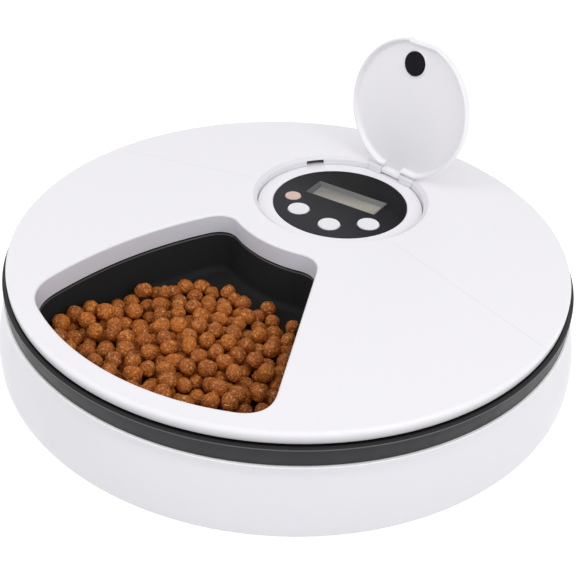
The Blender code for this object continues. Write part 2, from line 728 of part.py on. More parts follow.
def make_tray(finishes):
    flange = TRAY_RADIUS - TRAY_WALL
    profile = [(0.0, TRAY_TOP), (0.0, TRAY_PLATE_BOTTOM), (flange, TRAY_PLATE_BOTTOM), (flange, FLANGE_BOTTOM)]
    profile += [(TRAY_RADIUS, FLANGE_BOTTOM), (TRAY_RADIUS, TRAY_TOP)]
    tray = turned("food_tray", profile, finishes["tray"], RING_STEPS)
    hub_bottom = TRAY_TOP - HUB_DEPTH
    hub_top = TRAY_PLATE_BOTTOM + JOIN_DEPTH
    join(tray, disc("hub", HUB_RADIUS, hub_bottom, hub_top, finishes["tray"], steps=PANEL_STEPS))
    mouth = window_outline()
    for i in range(BOWL_COUNT):
        outline = turned_outline(mouth, 360 * i / BOWL_COUNT)
        shell = [at_height(offset_outline(outline, TRAY_WALL), TRAY_PLATE_BOTTOM + JOIN_DEPTH)]
        shell += [
            at_height(offset_outline(outline, TRAY_WALL - inset), height - TRAY_WALL)
            for height, inset in bowl_levels()[1:]
        ]
        join(tray, loft("bowl_shell", shell, finishes["tray"]))
    for i in range(BOWL_COUNT):
        outline = turned_outline(mouth, 360 * i / BOWL_COUNT)
        hollow = [at_height(outline, TRAY_TOP + CUT_OVERRUN)]
        hollow += [at_height(offset_outline(outline, -inset), height) for height, inset in bowl_levels()]
        cut(tray, loft("bowl_cut", hollow, finishes["tray"]))
    bore = POST_RADIUS + HUB_CLEARANCE
    cut(tray, disc("hub_cut", bore, hub_bottom - CUT_OVERRUN, TRAY_PLATE_BOTTOM, None, steps=PANEL_STEPS))
    socket = d_outline(SHAFT_RADIUS + SHAFT_CLEARANCE, SHAFT_FLAT)
    cut(tray, prism("socket_cut", socket, TRAY_PLATE_BOTTOM - CUT_OVERRUN, TRAY_TOP + CUT_OVERRUN, None))


def heap_edge(inset):
    """The heap's middle, and its edge: the bowl's mouth drawn in by an inset and by the bare strip."""
    mouth = np.array([tuple(point) for point in evened(window_outline(), FOOD_POINTS)])
    along = np.roll(mouth, -1, 0) - np.roll(mouth, 1, 0)
    outward = np.column_stack((-along[:, 1], along[:, 0])) / np.linalg.norm(along, axis=1)[:, None]
    share = (WINDOW_OUTER_RADIUS - np.linalg.norm(mouth, axis=1)) / (WINDOW_OUTER_RADIUS - HUB_RADIUS)
    bare = FOOD_BARE * share * np.maximum(outward[:, 1], 0)
    middle = mouth.mean(0)
    spokes = mouth - middle
    reach = (spokes * outward).sum(1)
    return middle, middle + spokes * (1 - (inset + bare) / reach)[:, None]


def heap_height(places):
    """Height that the balls reach over the bowl's floor: it rises from the hub to the rim."""
    middle, _ = heap_edge(0)
    share = places @ middle / (np.linalg.norm(middle) * WINDOW_OUTER_RADIUS)
    return FOOD_INNER_HEIGHT + (FOOD_OUTER_HEIGHT - FOOD_INNER_HEIGHT) * np.clip(share, 0, 1)


def ball_places():
    """Middles of the balls, strewn at random in the heap and pushed apart in a few rounds."""
    rng = np.random.default_rng(BALL_SEED)
    middle, edge = heap_edge(BOWL_DRAFT + BALL_RADIUS)
    spokes = edge - middle
    turns = np.arctan2(spokes[:, 1], spokes[:, 0])
    lengths = np.linalg.norm(spokes, axis=1)
    picks = rng.integers(0, FOOD_POINTS, BALL_TRIES)
    plan = middle + spokes[picks] * np.sqrt(rng.random(BALL_TRIES))[:, None]
    rise = BALL_RADIUS + rng.random(BALL_TRIES) * (FOOD_OUTER_HEIGHT - 2 * BALL_RADIUS)
    kept = np.flatnonzero(rise + BALL_RADIUS <= heap_height(plan))[:BALL_COUNT]
    places = np.column_stack((plan, rise))[kept]
    others = 1 - np.eye(len(places))
    for _ in range(BALL_ROUNDS):
        apart = places[:, None] - places
        distance = np.linalg.norm(apart, axis=-1) + np.eye(len(places))
        push = np.maximum(2 * BALL_RADIUS - distance, 0) * others / distance
        places = places + (apart * push[..., None]).sum(1) * BALL_PUSH_SHARE
        spokes = places[:, :2] - middle
        room = np.interp(np.arctan2(spokes[:, 1], spokes[:, 0]), turns, lengths, period=math.tau)
        reach = np.linalg.norm(spokes, axis=1)
        places[:, :2] = middle + spokes * np.minimum(1, room / np.maximum(reach, HAIR))[:, None]
        top = np.maximum(heap_height(places[:, :2]) - BALL_RADIUS, BALL_RADIUS)
        places[:, 2] = np.clip(places[:, 2] - BALL_DROP, BALL_RADIUS, top)
    return places


def heap_surface(places, balls):
    """Height of the heap over the bowl's floor: a cap on each ball, and between them the highest cap."""
    distance = np.linalg.norm(places[:, None] - balls[:, :2], axis=-1)
    caps = balls[:, 2] + BALL_RADIUS - distance * distance / (2 * BALL_RADIUS)
    return np.maximum(caps.max(1), BALL_RADIUS)


def make_food(finishes):
    balls = ball_places()
    middle, edge = heap_edge(BOWL_DRAFT + FOOD_WALL_GAP)
    rim_heights = heap_surface(edge, balls)
    rings = []
    for share in FOOD_SIDE_SHARES:
        heights = BOWL_FLOOR + SEAT_GAP + rim_heights * share
        inset = np.array([bowl_inset(height) for height in heights]) + FOOD_WALL_GAP
        middle, edge = heap_edge(inset)
        rings.append(np.column_stack((edge, heights)))
    for ring in range(FOOD_TOP_RINGS, 0, -1):
        places = middle + (edge - middle) * (ring / (FOOD_TOP_RINGS + 1))
        rings.append(np.column_stack((places, BOWL_FLOOR + SEAT_GAP + heap_surface(places, balls))))
    loft("food_portion", [ring.tolist() for ring in rings[::-1]], finishes["food"])


# Cover


def make_cover(finishes):
    white = finishes["white"]
    cover = turned("top_cover", cover_profile(), white, RING_STEPS)
    window = window_outline()
    skirt = offset_outline(window, WINDOW_SKIRT_WALL)
    join(cover, prism("window_skirt", skirt, WINDOW_SKIRT_BOTTOM, PLATE_UNDERSIDE + JOIN_DEPTH, white))
    well_outer = WELL_RADIUS + WELL_WALL
    plate_join = PLATE_UNDERSIDE + JOIN_DEPTH
    well_outline = circle(well_outer, PANEL_STEPS, CONTROL_MIDDLE)
    join(cover, prism("well_wall", well_outline, WELL_WALL_BOTTOM, plate_join, white))
    for place in housing_screw_places():
        join(cover, disc("screw_boss", BOSS_RADIUS, WELL_WALL_BOTTOM, plate_join, white, place))
    join(cover, hinge_block(white))
    flare = offset_outline(window, WINDOW_EDGE_ROUND)
    flare_bottom = COVER_TOP - WINDOW_EDGE_ROUND
    opening = [at_height(flare, COVER_TOP + CUT_OVERRUN), at_height(flare, COVER_TOP)]
    opening += [at_height(window, flare_bottom), at_height(window, WINDOW_SKIRT_BOTTOM - CUT_OVERRUN)]
    cut(cover, loft("window_cut", opening, white))
    cut(cover, turned("well_cut", well_profile(), white, PANEL_STEPS, CONTROL_MIDDLE))
    for side in (-1, 1):
        join(cover, knuckle(side, white))
    cut_hinge(cover, white)
    slot_middle = CONTROL_MIDDLE + polar(WELL_SLOT_BEARING, WELL_RADIUS)
    slot = rectangle(2 * WELL_SLOT_DEPTH, WELL_SLOT_WIDTH, slot_middle, WELL_SLOT_BEARING)
    slot_top = COVER_TOP - WELL_SLOT_DROP
    cut(cover, prism("slot_cut", slot, slot_top - WELL_SLOT_HEIGHT, slot_top, white))
    hole_top = WELL_WALL_BOTTOM + SCREW_GRIP + SEAT_GAP
    hole_bottom = WELL_WALL_BOTTOM - CUT_OVERRUN
    for place in housing_screw_places():
        cut(cover, disc("screw_cut", SCREW_RADIUS + SEAT_GAP, hole_bottom, hole_top, white, place))


def cover_profile():
    skirt_outer = BAND_INNER_RADIUS - SEAT_GAP
    skirt_inner = skirt_outer - COVER_SKIRT_WIDTH
    skirt_bottom = COVER_BOTTOM - COVER_SKIRT_DEPTH
    flat = COVER_RADIUS - COVER_EDGE_ROUND
    profile = [(0.0, PLATE_UNDERSIDE), (skirt_inner, PLATE_UNDERSIDE), (skirt_inner, skirt_bottom)]
    profile += [(skirt_outer, skirt_bottom), (skirt_outer, COVER_BOTTOM), (COVER_RADIUS, COVER_BOTTOM)]
    for i in range(ARC_STEPS + 1):
        turn = math.pi / 2 * i / ARC_STEPS
        radius = flat + COVER_EDGE_ROUND * math.cos(turn)
        profile.append((radius, COVER_TOP - COVER_EDGE_ROUND * (1 - math.sin(turn))))
    profile.append((0.0, COVER_TOP))
    return profile


def well_profile():
    """Cutter for the well: straight, with a rounded mouth."""
    bottom = WELL_WALL_BOTTOM - CUT_OVERRUN
    profile = [(0.0, bottom), (WELL_RADIUS, bottom)]
    for i in range(ARC_STEPS + 1):
        turn = math.pi / 2 * i / ARC_STEPS
        radius = WELL_RADIUS + WELL_EDGE_ROUND * (1 - math.cos(turn))
        profile.append((radius, COVER_TOP - WELL_EDGE_ROUND * (1 - math.sin(turn))))
    profile.append((WELL_RADIUS + WELL_EDGE_ROUND, COVER_TOP + CUT_OVERRUN))
    profile.append((0.0, COVER_TOP + CUT_OVERRUN))
    return profile


def hinge_block(material):
    """Thick wall behind the hinge, which its notch and its pin are cut into."""
    reach = HINGE_DISTANCE + HINGE_BLOCK_REACH
    depth = reach - WELL_RADIUS
    middle = CONTROL_MIDDLE + polar(HINGE_BEARING, WELL_RADIUS + depth / 2)
    width = TONGUE_WIDTH + 2 * (HINGE_CLEARANCE + KNUCKLE_WIDTH)
    outline = rectangle(depth, width, middle, HINGE_BEARING)
    return prism("hinge_block", outline, WELL_WALL_BOTTOM, PLATE_UNDERSIDE + JOIN_DEPTH, material)


def hinge_frame():
    """Turns local X along the hinge, Y from the hinge to the middle of the closed lid, and Z up."""
    place = Matrix.Translation((HINGE_MIDDLE.x, HINGE_MIDDLE.y, HINGE_HEIGHT))
    return place @ Matrix.Rotation(math.radians(HINGE_BEARING + 90), 4, "Z")


def along_hinge(name, outline, start, end, material):
    """A solid of an outline of (Y, Z) points in the hinge's frame, from start to end along its axis."""
    rings = [[(place, y, z) for y, z in outline] for place in (start, end)]
    solid = loft(name, rings, material)
    solid.matrix_world = hinge_frame()
    return solid


def round_outline(radius, steps=SMALL_STEPS):
    return [(point.x, point.y) for point in circle(radius, steps)]


def knuckle(side, material):
    """A round-topped ear that stands over the white ring."""
    foot = SEAT_RING_TOP + SEAT_GAP - HINGE_HEIGHT
    outline = [(-KNUCKLE_RADIUS, foot), (KNUCKLE_RADIUS, foot)]
    for i in range(2 * ARC_STEPS + 1):
        turn = math.pi * i / (2 * ARC_STEPS)
        outline.append((KNUCKLE_RADIUS * math.cos(turn), KNUCKLE_RADIUS * math.sin(turn)))
    start = TONGUE_WIDTH / 2 + HINGE_CLEARANCE
    return along_hinge("knuckle", outline, side * start, side * (start + KNUCKLE_WIDTH), material)


def cut_hinge(cover, material):
    """Room for the tongue between the ears, and the bore for the pin."""
    half = TONGUE_WIDTH / 2 + HINGE_CLEARANCE
    room = BARREL_RADIUS + HINGE_CLEARANCE
    behind = HINGE_DROP + HINGE_CLEARANCE
    front = KNUCKLE_RADIUS + CUT_OVERRUN
    over = HINGE_DROP + CUT_OVERRUN
    notch = [(-behind, -room), (front, -room), (front, over), (-behind, over)]
    cut(cover, along_hinge("notch_cut", notch, -half, half, material))
    end = half + KNUCKLE_WIDTH - PIN_END_MARGIN
    cut(cover, along_hinge("pin_cut", round_outline(PIN_RADIUS + SEAT_GAP), -end, end, material))


def make_hinge_pin(finishes):
    end = TONGUE_WIDTH / 2 + HINGE_CLEARANCE + KNUCKLE_WIDTH - PIN_END_MARGIN - SEAT_GAP
    along_hinge("hinge_pin", round_outline(PIN_RADIUS), -end, end, finishes["steel"])


# Control unit


def housing_screw_places():
    bearings = [CONTROL_BEARING + 360 * i / HOUSING_SCREW_COUNT for i in range(HOUSING_SCREW_COUNT)]
    return [CONTROL_MIDDLE + polar(bearing, HOUSING_SCREW_CIRCLE) for bearing in bearings]


def make_housing(finishes):
    outer = WELL_RADIUS - SEAT_RING_CLEARANCE
    floor = HOUSING_BOTTOM + HOUSING_FLOOR
    seat = PANEL_RADIUS + SEAT_GAP
    profile = [
        (0.0, HOUSING_BOTTOM),
        (HOUSING_FLANGE_RADIUS, HOUSING_BOTTOM),
        (HOUSING_FLANGE_RADIUS, HOUSING_FLANGE_TOP),
        (outer, HOUSING_FLANGE_TOP),
        (outer, SEAT_RING_TOP),
        (seat, SEAT_RING_TOP),
        (seat, PANEL_SEAT),
        (CAVITY_RADIUS, PANEL_SEAT),
        (CAVITY_RADIUS, floor),
        (0.0, floor),
    ]
    housing = turned("control_housing", profile, finishes["white"], PANEL_STEPS, CONTROL_MIDDLE)
    head_top = HOUSING_BOTTOM + SCREW_HEAD_SINK + SCREW_HEAD_HEIGHT + SEAT_GAP
    under = HOUSING_BOTTOM - CUT_OVERRUN
    for place in housing_screw_places():
        cut(housing, disc("head_cut", SCREW_HEAD_RADIUS + SEAT_GAP, under, head_top, None, place))
        cut(housing, disc("screw_cut", SCREW_RADIUS + SEAT_GAP, under, SEAT_RING_TOP, None, place))


def make_housing_screws(finishes):
    tip = WELL_WALL_BOTTOM + SCREW_GRIP
    for i, place in enumerate(housing_screw_places()):
        make_screw(f"housing_screw_{i + 1}", HOUSING_BOTTOM + SCREW_HEAD_SINK, tip, place, finishes)


def display_middle():
    return CONTROL_MIDDLE + polar(DISPLAY_BEARING, DISPLAY_OFFSET)


def display_outline(margin):
    """The display's opening, grown by a margin. Its width lies across the display's bearing."""
    bearing = DISPLAY_BEARING - 90
    return rectangle(DISPLAY_WIDTH + 2 * margin, DISPLAY_HEIGHT + 2 * margin, display_middle(), bearing)


def button_place(name):
    bearing, distance, _ = BUTTON_PLACES[name]
    return CONTROL_MIDDLE + polar(bearing, distance)


def make_panel(finishes):
    outline = circle(PANEL_RADIUS, PANEL_STEPS, CONTROL_MIDDLE)
    panel = prism("fascia_panel", outline, PANEL_BOTTOM, SEAT_RING_TOP, finishes["panel"])
    low = PANEL_BOTTOM - CUT_OVERRUN
    high = SEAT_RING_TOP + CUT_OVERRUN
    cut(panel, prism("display_cut", display_outline(0.0), low, high, None))
    for name, (_, _, radius) in BUTTON_PLACES.items():
        cut(panel, disc("button_cut", radius + BUTTON_CLEARANCE, low, high, None, button_place(name)))


def make_buttons(finishes):
    """Caps with a ledge under the panel, and the switch under each."""
    for name, (_, _, radius) in BUTTON_PLACES.items():
        place = button_place(name)
        top = SEAT_RING_TOP + BUTTON_PROUD
        ledge = radius + BUTTON_LEDGE
        profile = [
            (0.0, LEDGE_BOTTOM),
            (ledge, LEDGE_BOTTOM),
            (ledge, PANEL_SEAT),
            (radius, PANEL_SEAT),
            (radius, top - BUTTON_DOME),
            (radius - BUTTON_DOME, top),
            (0.0, top),
        ]
        colour = finishes["set_button"] if name == "set" else finishes["button"]
        turned("button_" + name, profile, colour, SMALL_STEPS, place)
        disc("key_switch_" + name, SWITCH_RADIUS, BOARD_TOP + SEAT_GAP, SWITCH_TOP, finishes["switch"], place)


def make_display(finishes):
    bottom = BOARD_TOP + SEAT_GAP
    module = prism("lcd_module", display_outline(DISPLAY_FRAME), bottom, PANEL_SEAT, finishes["display"])
    rise_share = CUT_OVERRUN / DISPLAY_RECESS
    recess = [
        at_height(display_outline(DISPLAY_SLOPE * rise_share), PANEL_SEAT + CUT_OVERRUN),
        at_height(display_outline(0.0), PANEL_SEAT),
        at_height(display_outline(-DISPLAY_SLOPE), DISPLAY_FLOOR),
    ]
    cut(module, loft("recess_cut", recess, None))
    lens_bottom = DISPLAY_FLOOR + SEAT_GAP
    outline = display_outline(-DISPLAY_SLOPE - SEAT_GAP)
    prism("lcd_window", outline, lens_bottom, lens_bottom + LENS_THICKNESS, finishes["lens"])


def make_board(finishes):
    outline = circle(BOARD_RADIUS, PANEL_STEPS, CONTROL_MIDDLE)
    prism("control_board", outline, BOARD_BOTTOM, BOARD_TOP, finishes["board"])


# Flip lid, modelled closed in the hinge's frame and opened by its parent


def make_flip_lid(finishes):
    white = finishes["white"]
    pivot = bpy.data.objects.new("flip_lid_pivot", None)
    bpy.context.scene.collection.objects.link(pivot)
    pivot.matrix_world = hinge_frame() @ Matrix.Rotation(math.radians(LID_OPEN_ANGLE), 4, "X")
    middle = Vector((LID_OFFSET, LID_REACH))
    rim = SEAT_RING_TOP + SEAT_GAP - HINGE_HEIGHT
    face = HINGE_DROP - LID_PLATE
    profile = [
        (0.0, face),
        (LID_RADIUS - LID_WALL - LID_EDGE_ROUND / 2, face),
        (LID_RADIUS - LID_WALL, face - LID_EDGE_ROUND / 2),
        (LID_RADIUS - LID_WALL, rim),
        (LID_RADIUS, rim),
        (LID_RADIUS, HINGE_DROP - LID_EDGE_ROUND),
        (LID_RADIUS - LID_EDGE_ROUND / 3, HINGE_DROP - LID_EDGE_ROUND / 3),
        (LID_RADIUS - LID_EDGE_ROUND, HINGE_DROP),
        (0.0, HINGE_DROP),
    ]
    lid = turned("flip_lid", profile, white, PANEL_STEPS, middle)
    gap = LID_REACH - LID_RADIUS
    flat = LID_RADIUS - TAB_FLAT
    tab_side = middle.x + TAB_OFFSET
    flat_outline = rectangle(TAB_WIDTH, 3 * LID_WALL, Vector((tab_side, middle.y + flat + 3 * LID_WALL / 2)))
    low = rim - CUT_OVERRUN
    high = HINGE_DROP + CUT_OVERRUN
    flat_cut = prism("lid_flat_cut", flat_outline, low, high, white)
    tab_top = HINGE_DROP
    tab_middle = Vector((tab_side, middle.y + flat + (TAB_REACH - LID_WALL) / 2))
    tab_outline = rectangle(TAB_WIDTH + LID_WALL, TAB_REACH + LID_WALL, tab_middle)
    tab = prism("lid_tab", tab_outline, tab_top - TAB_THICKNESS, tab_top, white)
    notch_half = TONGUE_WIDTH / 2 + KNUCKLE_WIDTH + 2 * HINGE_CLEARANCE
    notch_depth = KNUCKLE_RADIUS + HINGE_CLEARANCE
    ear_cuts = []
    for side in (-1, 1):
        ear_middle = Vector((side * (notch_half + TONGUE_WIDTH / 2) / 2, 0.0))
        ear_outline = rectangle(notch_half - TONGUE_WIDTH / 2, 2 * notch_depth, ear_middle)
        ear_cuts.append(prism("lid_ear_cut", ear_outline, low, high, white))
    wall_end = gap + LID_WALL + LID_EDGE_ROUND
    notch = rectangle(TONGUE_WIDTH, wall_end - BARREL_RADIUS, Vector((0.0, (wall_end + BARREL_RADIUS) / 2)))
    notch_cut = prism("lid_notch_cut", notch, low, face, white)
    tongue_outline = rectangle(TONGUE_WIDTH, gap + LID_WALL, Vector((0.0, (gap + LID_WALL) / 2)))
    tongue = prism("lid_tongue", tongue_outline, face, HINGE_DROP, white)
    half = TONGUE_WIDTH / 2
    barrel_outline = round_outline(BARREL_RADIUS)
    barrel = loft("lid_barrel", [[(x, y, z) for y, z in barrel_outline] for x in (-half, half)], white)
    reach = half + CUT_OVERRUN
    bore_outline = round_outline(PIN_RADIUS + SEAT_GAP)
    bore = loft("lid_bore_cut", [[(x, y, z) for y, z in bore_outline] for x in (-reach, reach)], white)
    cut(lid, flat_cut)
    join(lid, tab)
    for ear_cut in ear_cuts:
        cut(lid, ear_cut)
    cut(lid, notch_cut)
    join(lid, tongue)
    join(lid, barrel)
    cut(lid, bore)
    pad_middle = middle + Vector((PAD_OFFSET, PAD_DISTANCE))
    pad_top = face - SEAT_GAP
    pad = disc("lid_pad", PAD_RADIUS, pad_top - PAD_THICKNESS, pad_top, finishes["rubber"], pad_middle)
    for piece in (lid, flat_cut, tab, *ear_cuts, notch_cut, tongue, barrel, bore, pad):
        piece.parent = pivot


def main():
    clear_scene()
    finishes = make_finishes()
    make_base_shell(finishes)
    make_battery_door(finishes)
    make_cells(finishes)
    make_contacts(finishes)
    make_feet(finishes)
    make_rim_band(finishes)
    make_glide_ring(finishes)
    make_drive_post(finishes)
    make_motor(finishes)
    make_motor_retainer(finishes)
    make_drive_shaft(finishes)
    make_post_screws(finishes)
    make_tray(finishes)
    make_food(finishes)
    make_cover(finishes)
    make_hinge_pin(finishes)
    make_housing(finishes)
    make_housing_screws(finishes)
    make_panel(finishes)
    make_buttons(finishes)
    make_display(finishes)
    make_board(finishes)
    make_flip_lid(finishes)


main()
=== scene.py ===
import math

import bmesh
import bpy
import numpy as np
from mathutils import Matrix, Vector
from mathutils.geometry import delaunay_2d_cdt


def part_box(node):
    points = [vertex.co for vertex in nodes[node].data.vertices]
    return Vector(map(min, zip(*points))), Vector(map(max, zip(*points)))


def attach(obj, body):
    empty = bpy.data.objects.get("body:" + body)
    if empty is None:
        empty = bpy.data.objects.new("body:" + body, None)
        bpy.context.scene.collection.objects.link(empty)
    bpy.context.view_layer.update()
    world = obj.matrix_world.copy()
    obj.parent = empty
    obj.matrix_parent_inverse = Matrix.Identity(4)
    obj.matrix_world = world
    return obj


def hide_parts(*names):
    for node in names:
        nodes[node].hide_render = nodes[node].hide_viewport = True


# Timed pet feeder: white base and cover, dark band, black tray with dry food, controls under a flip lid
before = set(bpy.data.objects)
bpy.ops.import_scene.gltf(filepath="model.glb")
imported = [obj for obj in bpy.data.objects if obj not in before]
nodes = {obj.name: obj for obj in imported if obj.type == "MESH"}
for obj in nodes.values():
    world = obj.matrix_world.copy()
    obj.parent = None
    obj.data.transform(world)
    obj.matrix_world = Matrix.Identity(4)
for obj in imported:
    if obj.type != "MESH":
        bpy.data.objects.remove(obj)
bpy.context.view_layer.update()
print("frame loaded:", len(nodes), "nodes")

# Shared sizes in metres and bearings in degrees, as in the CAD
gap = 0.0003
chamfer = 0.0003  # on small hidden edges
strip = 0.0005  # flat strip between an edge and the fill beside it
roundSteps = 320  # columns of the large turned faces
mergeDistance = 2e-6  # closer points of a piece become one
fillMerge = 1e-9
flatAngle = 0.5  # lines across a flat face bend less than this
controlBearing = 59.42
controlDistance = 0.0613
windowArcBearing = 58.2
windowArcDistance = 0.0588
hingeBearing = 46.5
hingeDistance = 0.0525
lidOpenAngle = 96.0
height = {
    "underside": 0.0020,
    "floorTop": 0.0044,
    "shelfUnder": 0.0310,
    "shelfTop": 0.0334,
    "baseTop": 0.0396,
    "bandBottom": 0.0399,
    "bandTop": 0.0499,
    "stepTop": 0.0509,
    "coverBottom": 0.0512,
    "coverTop": 0.0572,
    "plateUnder": 0.0548,
    "skirtBottom": 0.0445,
    "wellWallBottom": 0.0495,
    "trayTop": 0.0435,
    "trayPlateUnder": 0.0415,
    "trayFlange": 0.0360,
    "bowlFloor": 0.0186,
    "ringTop": 0.0517,
    "housingBottom": 0.0449,
    "housingFlange": 0.0492,
    "panelBottom": 0.0508,
    "panelSeat": 0.0505,
    "hinge": 0.0546,
}


def polar(bearing, distance):
    # a point, or points, at a bearing in degrees and a distance from the turning axis
    angle = np.radians(bearing)
    return np.stack([np.cos(angle) * distance, np.sin(angle) * distance], -1)


axisMiddle = np.zeros(2)
controlMiddle = polar(controlBearing, controlDistance)
windowArcMiddle = polar(windowArcBearing, windowArcDistance)
hingeMiddle = controlMiddle + polar(hingeBearing, hingeDistance)


# Mesh tools: a part is (points, list of face arrays), and a piece is made of one or more parts


def gridFaces(rows, columns, closedRows=False, closedColumns=True):
    # quads between neighbours on a grid that is stored row by row
    i, j = np.meshgrid(
        np.arange(rows if closedRows else rows - 1),
        np.arange(columns if closedColumns else columns - 1),
        indexing="ij",
    )
    i, j = i.ravel(), j.ravel()
    nextI, nextJ = (i + 1) % rows, (j + 1) % columns
    return np.stack([i * columns + j, i * columns + nextJ, nextI * columns + nextJ, nextI * columns + j], -1)


def gridPart(points, closedRows=False, closedColumns=True):
    # the grid's points row by row, with the quads between them
    rows, columns = points.shape[:2]
    return points.reshape(-1, 3), [gridFaces(rows, columns, closedRows, closedColumns)]


def revolve(profile, steps=roundSteps, middle=axisMiddle, closedRows=False):
    # every (radius, height) of the profile is carried round a full circle about the middle
    profile = np.asarray(profile, float)
    angle = np.linspace(0, math.tau, steps, endpoint=False)
    x = middle[0] + profile[:, :1] * np.cos(angle)
    y = middle[1] + profile[:, :1] * np.sin(angle)
    z = np.repeat(profile[:, 1:], steps, 1)
    return gridPart(np.stack([x, y, z], -1), closedRows)


def offsetOutline(outline, distance):
    # each point moves out along the middle of its two edge normals, so that both edges move by the distance
    before = outline - np.roll(outline, 1, 0)
    after = np.roll(outline, -1, 0) - outline
    before = before / np.linalg.norm(before, axis=1, keepdims=True)
    after = after / np.linalg.norm(after, axis=1, keepdims=True)
    along = before + after
    along = along / np.linalg.norm(along, axis=1, keepdims=True)
    normal = np.stack([-along[:, 1], along[:, 0]], -1)
    return outline + normal * (distance / (before * along).sum(1))[:, None]


def atHeight(outline, z):
    # the outline's points, level at z
    return np.column_stack([outline, np.full(len(outline), z)])


def carried(outline, profile):
    # the outline is offset by each distance of the profile and set at its height
    return gridPart(np.stack([atHeight(offsetOutline(outline, distance), z) for distance, z in profile]))


def wall(outline, heights):
    # the outline stands upright from one height to the next
    return gridPart(np.stack([atHeight(outline, z) for z in heights]))


def insideLoop(points, loop):
    # even-odd rule: the count of loop edges that a ray from each point crosses
    start, end = loop, np.roll(loop, -1, 0)
    x, y = points[:, :1], points[:, 1:]
    crosses = (start[:, 1] > y) != (end[:, 1] > y)
    run = end[:, 1] - start[:, 1]
    run = np.where(np.abs(run) < fillMerge, fillMerge, run)
    reach = start[:, 0] + (y - start[:, 1]) / run * (end[:, 0] - start[:, 0])
    return (crosses & (x < reach)).sum(1) % 2 == 1


def flatFill(loops, z):
    # triangles between the loops of a flat face, with the inner loops left open
    points = np.concatenate(loops)
    sizes = [len(loop) for loop in loops]
    starts = np.concatenate([[0], np.cumsum(sizes)[:-1]])
    steps = [np.arange(size) for size in sizes]
    edges = [np.stack([k, (k + 1) % len(k)], -1) + start for k, start in zip(steps, starts)]
    corners = [Vector(point) for point in points.tolist()]
    filled = delaunay_2d_cdt(corners, np.concatenate(edges).tolist(), [], 0, fillMerge, False)
    found = np.array([tuple(point) for point in filled[0]])
    triangles = np.array(filled[2])
    middles = found[triangles].mean(1)
    inside = np.sum([insideLoop(middles, loop) for loop in loops], 0) % 2 == 1
    return atHeight(found, z), [triangles[inside]]


def polygon(points):
    # one flat face through all the points
    return np.asarray(points), [[list(range(len(points)))]]


def placed(part, matrix):
    # the part moved by a matrix
    points, faces = part
    m = np.array(matrix)
    return points @ m[:3, :3].T + m[:3, 3], faces


def planTurn(angle):
    # turns rows of (x, y) anticlockwise by an angle in degrees
    a = math.radians(angle)
    return np.array([[math.cos(a), math.sin(a)], [-math.sin(a), math.cos(a)]])


def circle(radius, steps=roundSteps, middle=axisMiddle):
    # points an equal angle apart round the middle
    return middle + polar(np.linspace(0, 360, steps, endpoint=False), radius)


def rectangle(width, depth, middle):
    # four corners, half the width and half the depth from the middle
    return middle + np.array([[-1, -1], [1, -1], [1, 1], [-1, 1]]) * [width / 2, depth / 2]


def roundedRectangle(width, depth, radius, middle=axisMiddle, bearing=0.0, steps=6):
    # four quarter circles whose middles are a radius in from the sides
    turn = np.radians(np.linspace(0, 90, steps))
    arc = np.stack([np.cos(turn), np.sin(turn)], -1) * radius
    corners = np.array([[1, 1], [-1, 1], [-1, -1], [1, -1]]) * [width / 2 - radius, depth / 2 - radius]
    points = np.concatenate([arc @ planTurn(90 * k) + corner for k, corner in enumerate(corners)])
    return middle + points @ planTurn(bearing)


def arcOf(middle, radius, first, last, steps):
    # (radius, height) points of a quarter or other arc, angles in degrees
    turn = np.radians(np.linspace(first, last, steps))
    return np.stack([middle[0] + radius * np.cos(turn), middle[1] + radius * np.sin(turn)], -1)


def roundOver(radius, steps):
    # (inset, drop) down a quarter round, from level to upright
    turn = np.radians(np.linspace(0, 90, steps))
    return radius * np.stack([1 - np.sin(turn), 1 - np.cos(turn)], -1)


def smoothCurve(points, steps):
    # Catmull-Rom curve through the points
    points = np.asarray(points, float)
    ends = np.vstack([2 * points[0] - points[1], points, 2 * points[-1] - points[-2]])
    t = np.linspace(0, 1, steps, endpoint=False)[:, None]
    curve = [
        0.5 * (2 * b + (c - a) * t + (2 * a - 5 * b + 4 * c - d) * t**2 + (3 * b - a - 3 * c + d) * t**3)
        for a, b, c, d in zip(ends, ends[1:], ends[2:], ends[3:])
    ]
    return np.vstack([*curve, points[-1:]])


def extruded(outline, start, end, ends):
    # an outline of (Y, Z) points carried along X from start to end and closed by two flat caps;
    # each of the ends gives a row's distance from either end, and how far the outline is drawn in there
    inward, inset = np.array(ends).T
    inward = inward * np.sign(end - start)
    stations = np.concatenate([start + inward, (end - inward)[::-1]])
    insets = np.concatenate([inset, inset[::-1]])
    n = len(outline)
    rows = [np.column_stack([np.full(n, x), offsetOutline(outline, -d)]) for x, d in zip(stations, insets)]
    points, faces = gridPart(np.stack(rows))
    return points, faces + [[[first + k for k in range(n)]] for first in (0, len(points) - n)]


def mergedPoints(mesh, flatten=False):
    # merges points that lie together, then clears the lines across flat faces or turns the faces outwards
    work = bmesh.new()
    work.from_mesh(mesh)
    bmesh.ops.remove_doubles(work, verts=work.verts, dist=mergeDistance)
    if flatten:
        angle = math.radians(flatAngle)
        bmesh.ops.dissolve_limit(work, angle_limit=angle, verts=work.verts, edges=work.edges)
    else:
        bmesh.ops.recalc_face_normals(work, faces=work.faces)
    work.to_mesh(mesh)
    work.free()


def dressed(name, mesh, choices, body, stands, sharp):
    # an object with its materials, smooth but for edges past an angle, tied to its body and nodes
    for material in choices:
        mesh.materials.append(material)
    mesh.shade_smooth()
    mesh.set_sharp_from_angle(angle=math.radians(sharp))
    piece = bpy.data.objects.new(name, mesh)
    bpy.context.scene.collection.objects.link(piece)
    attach(piece, body)
    if stands:
        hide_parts(*stands)
    return piece


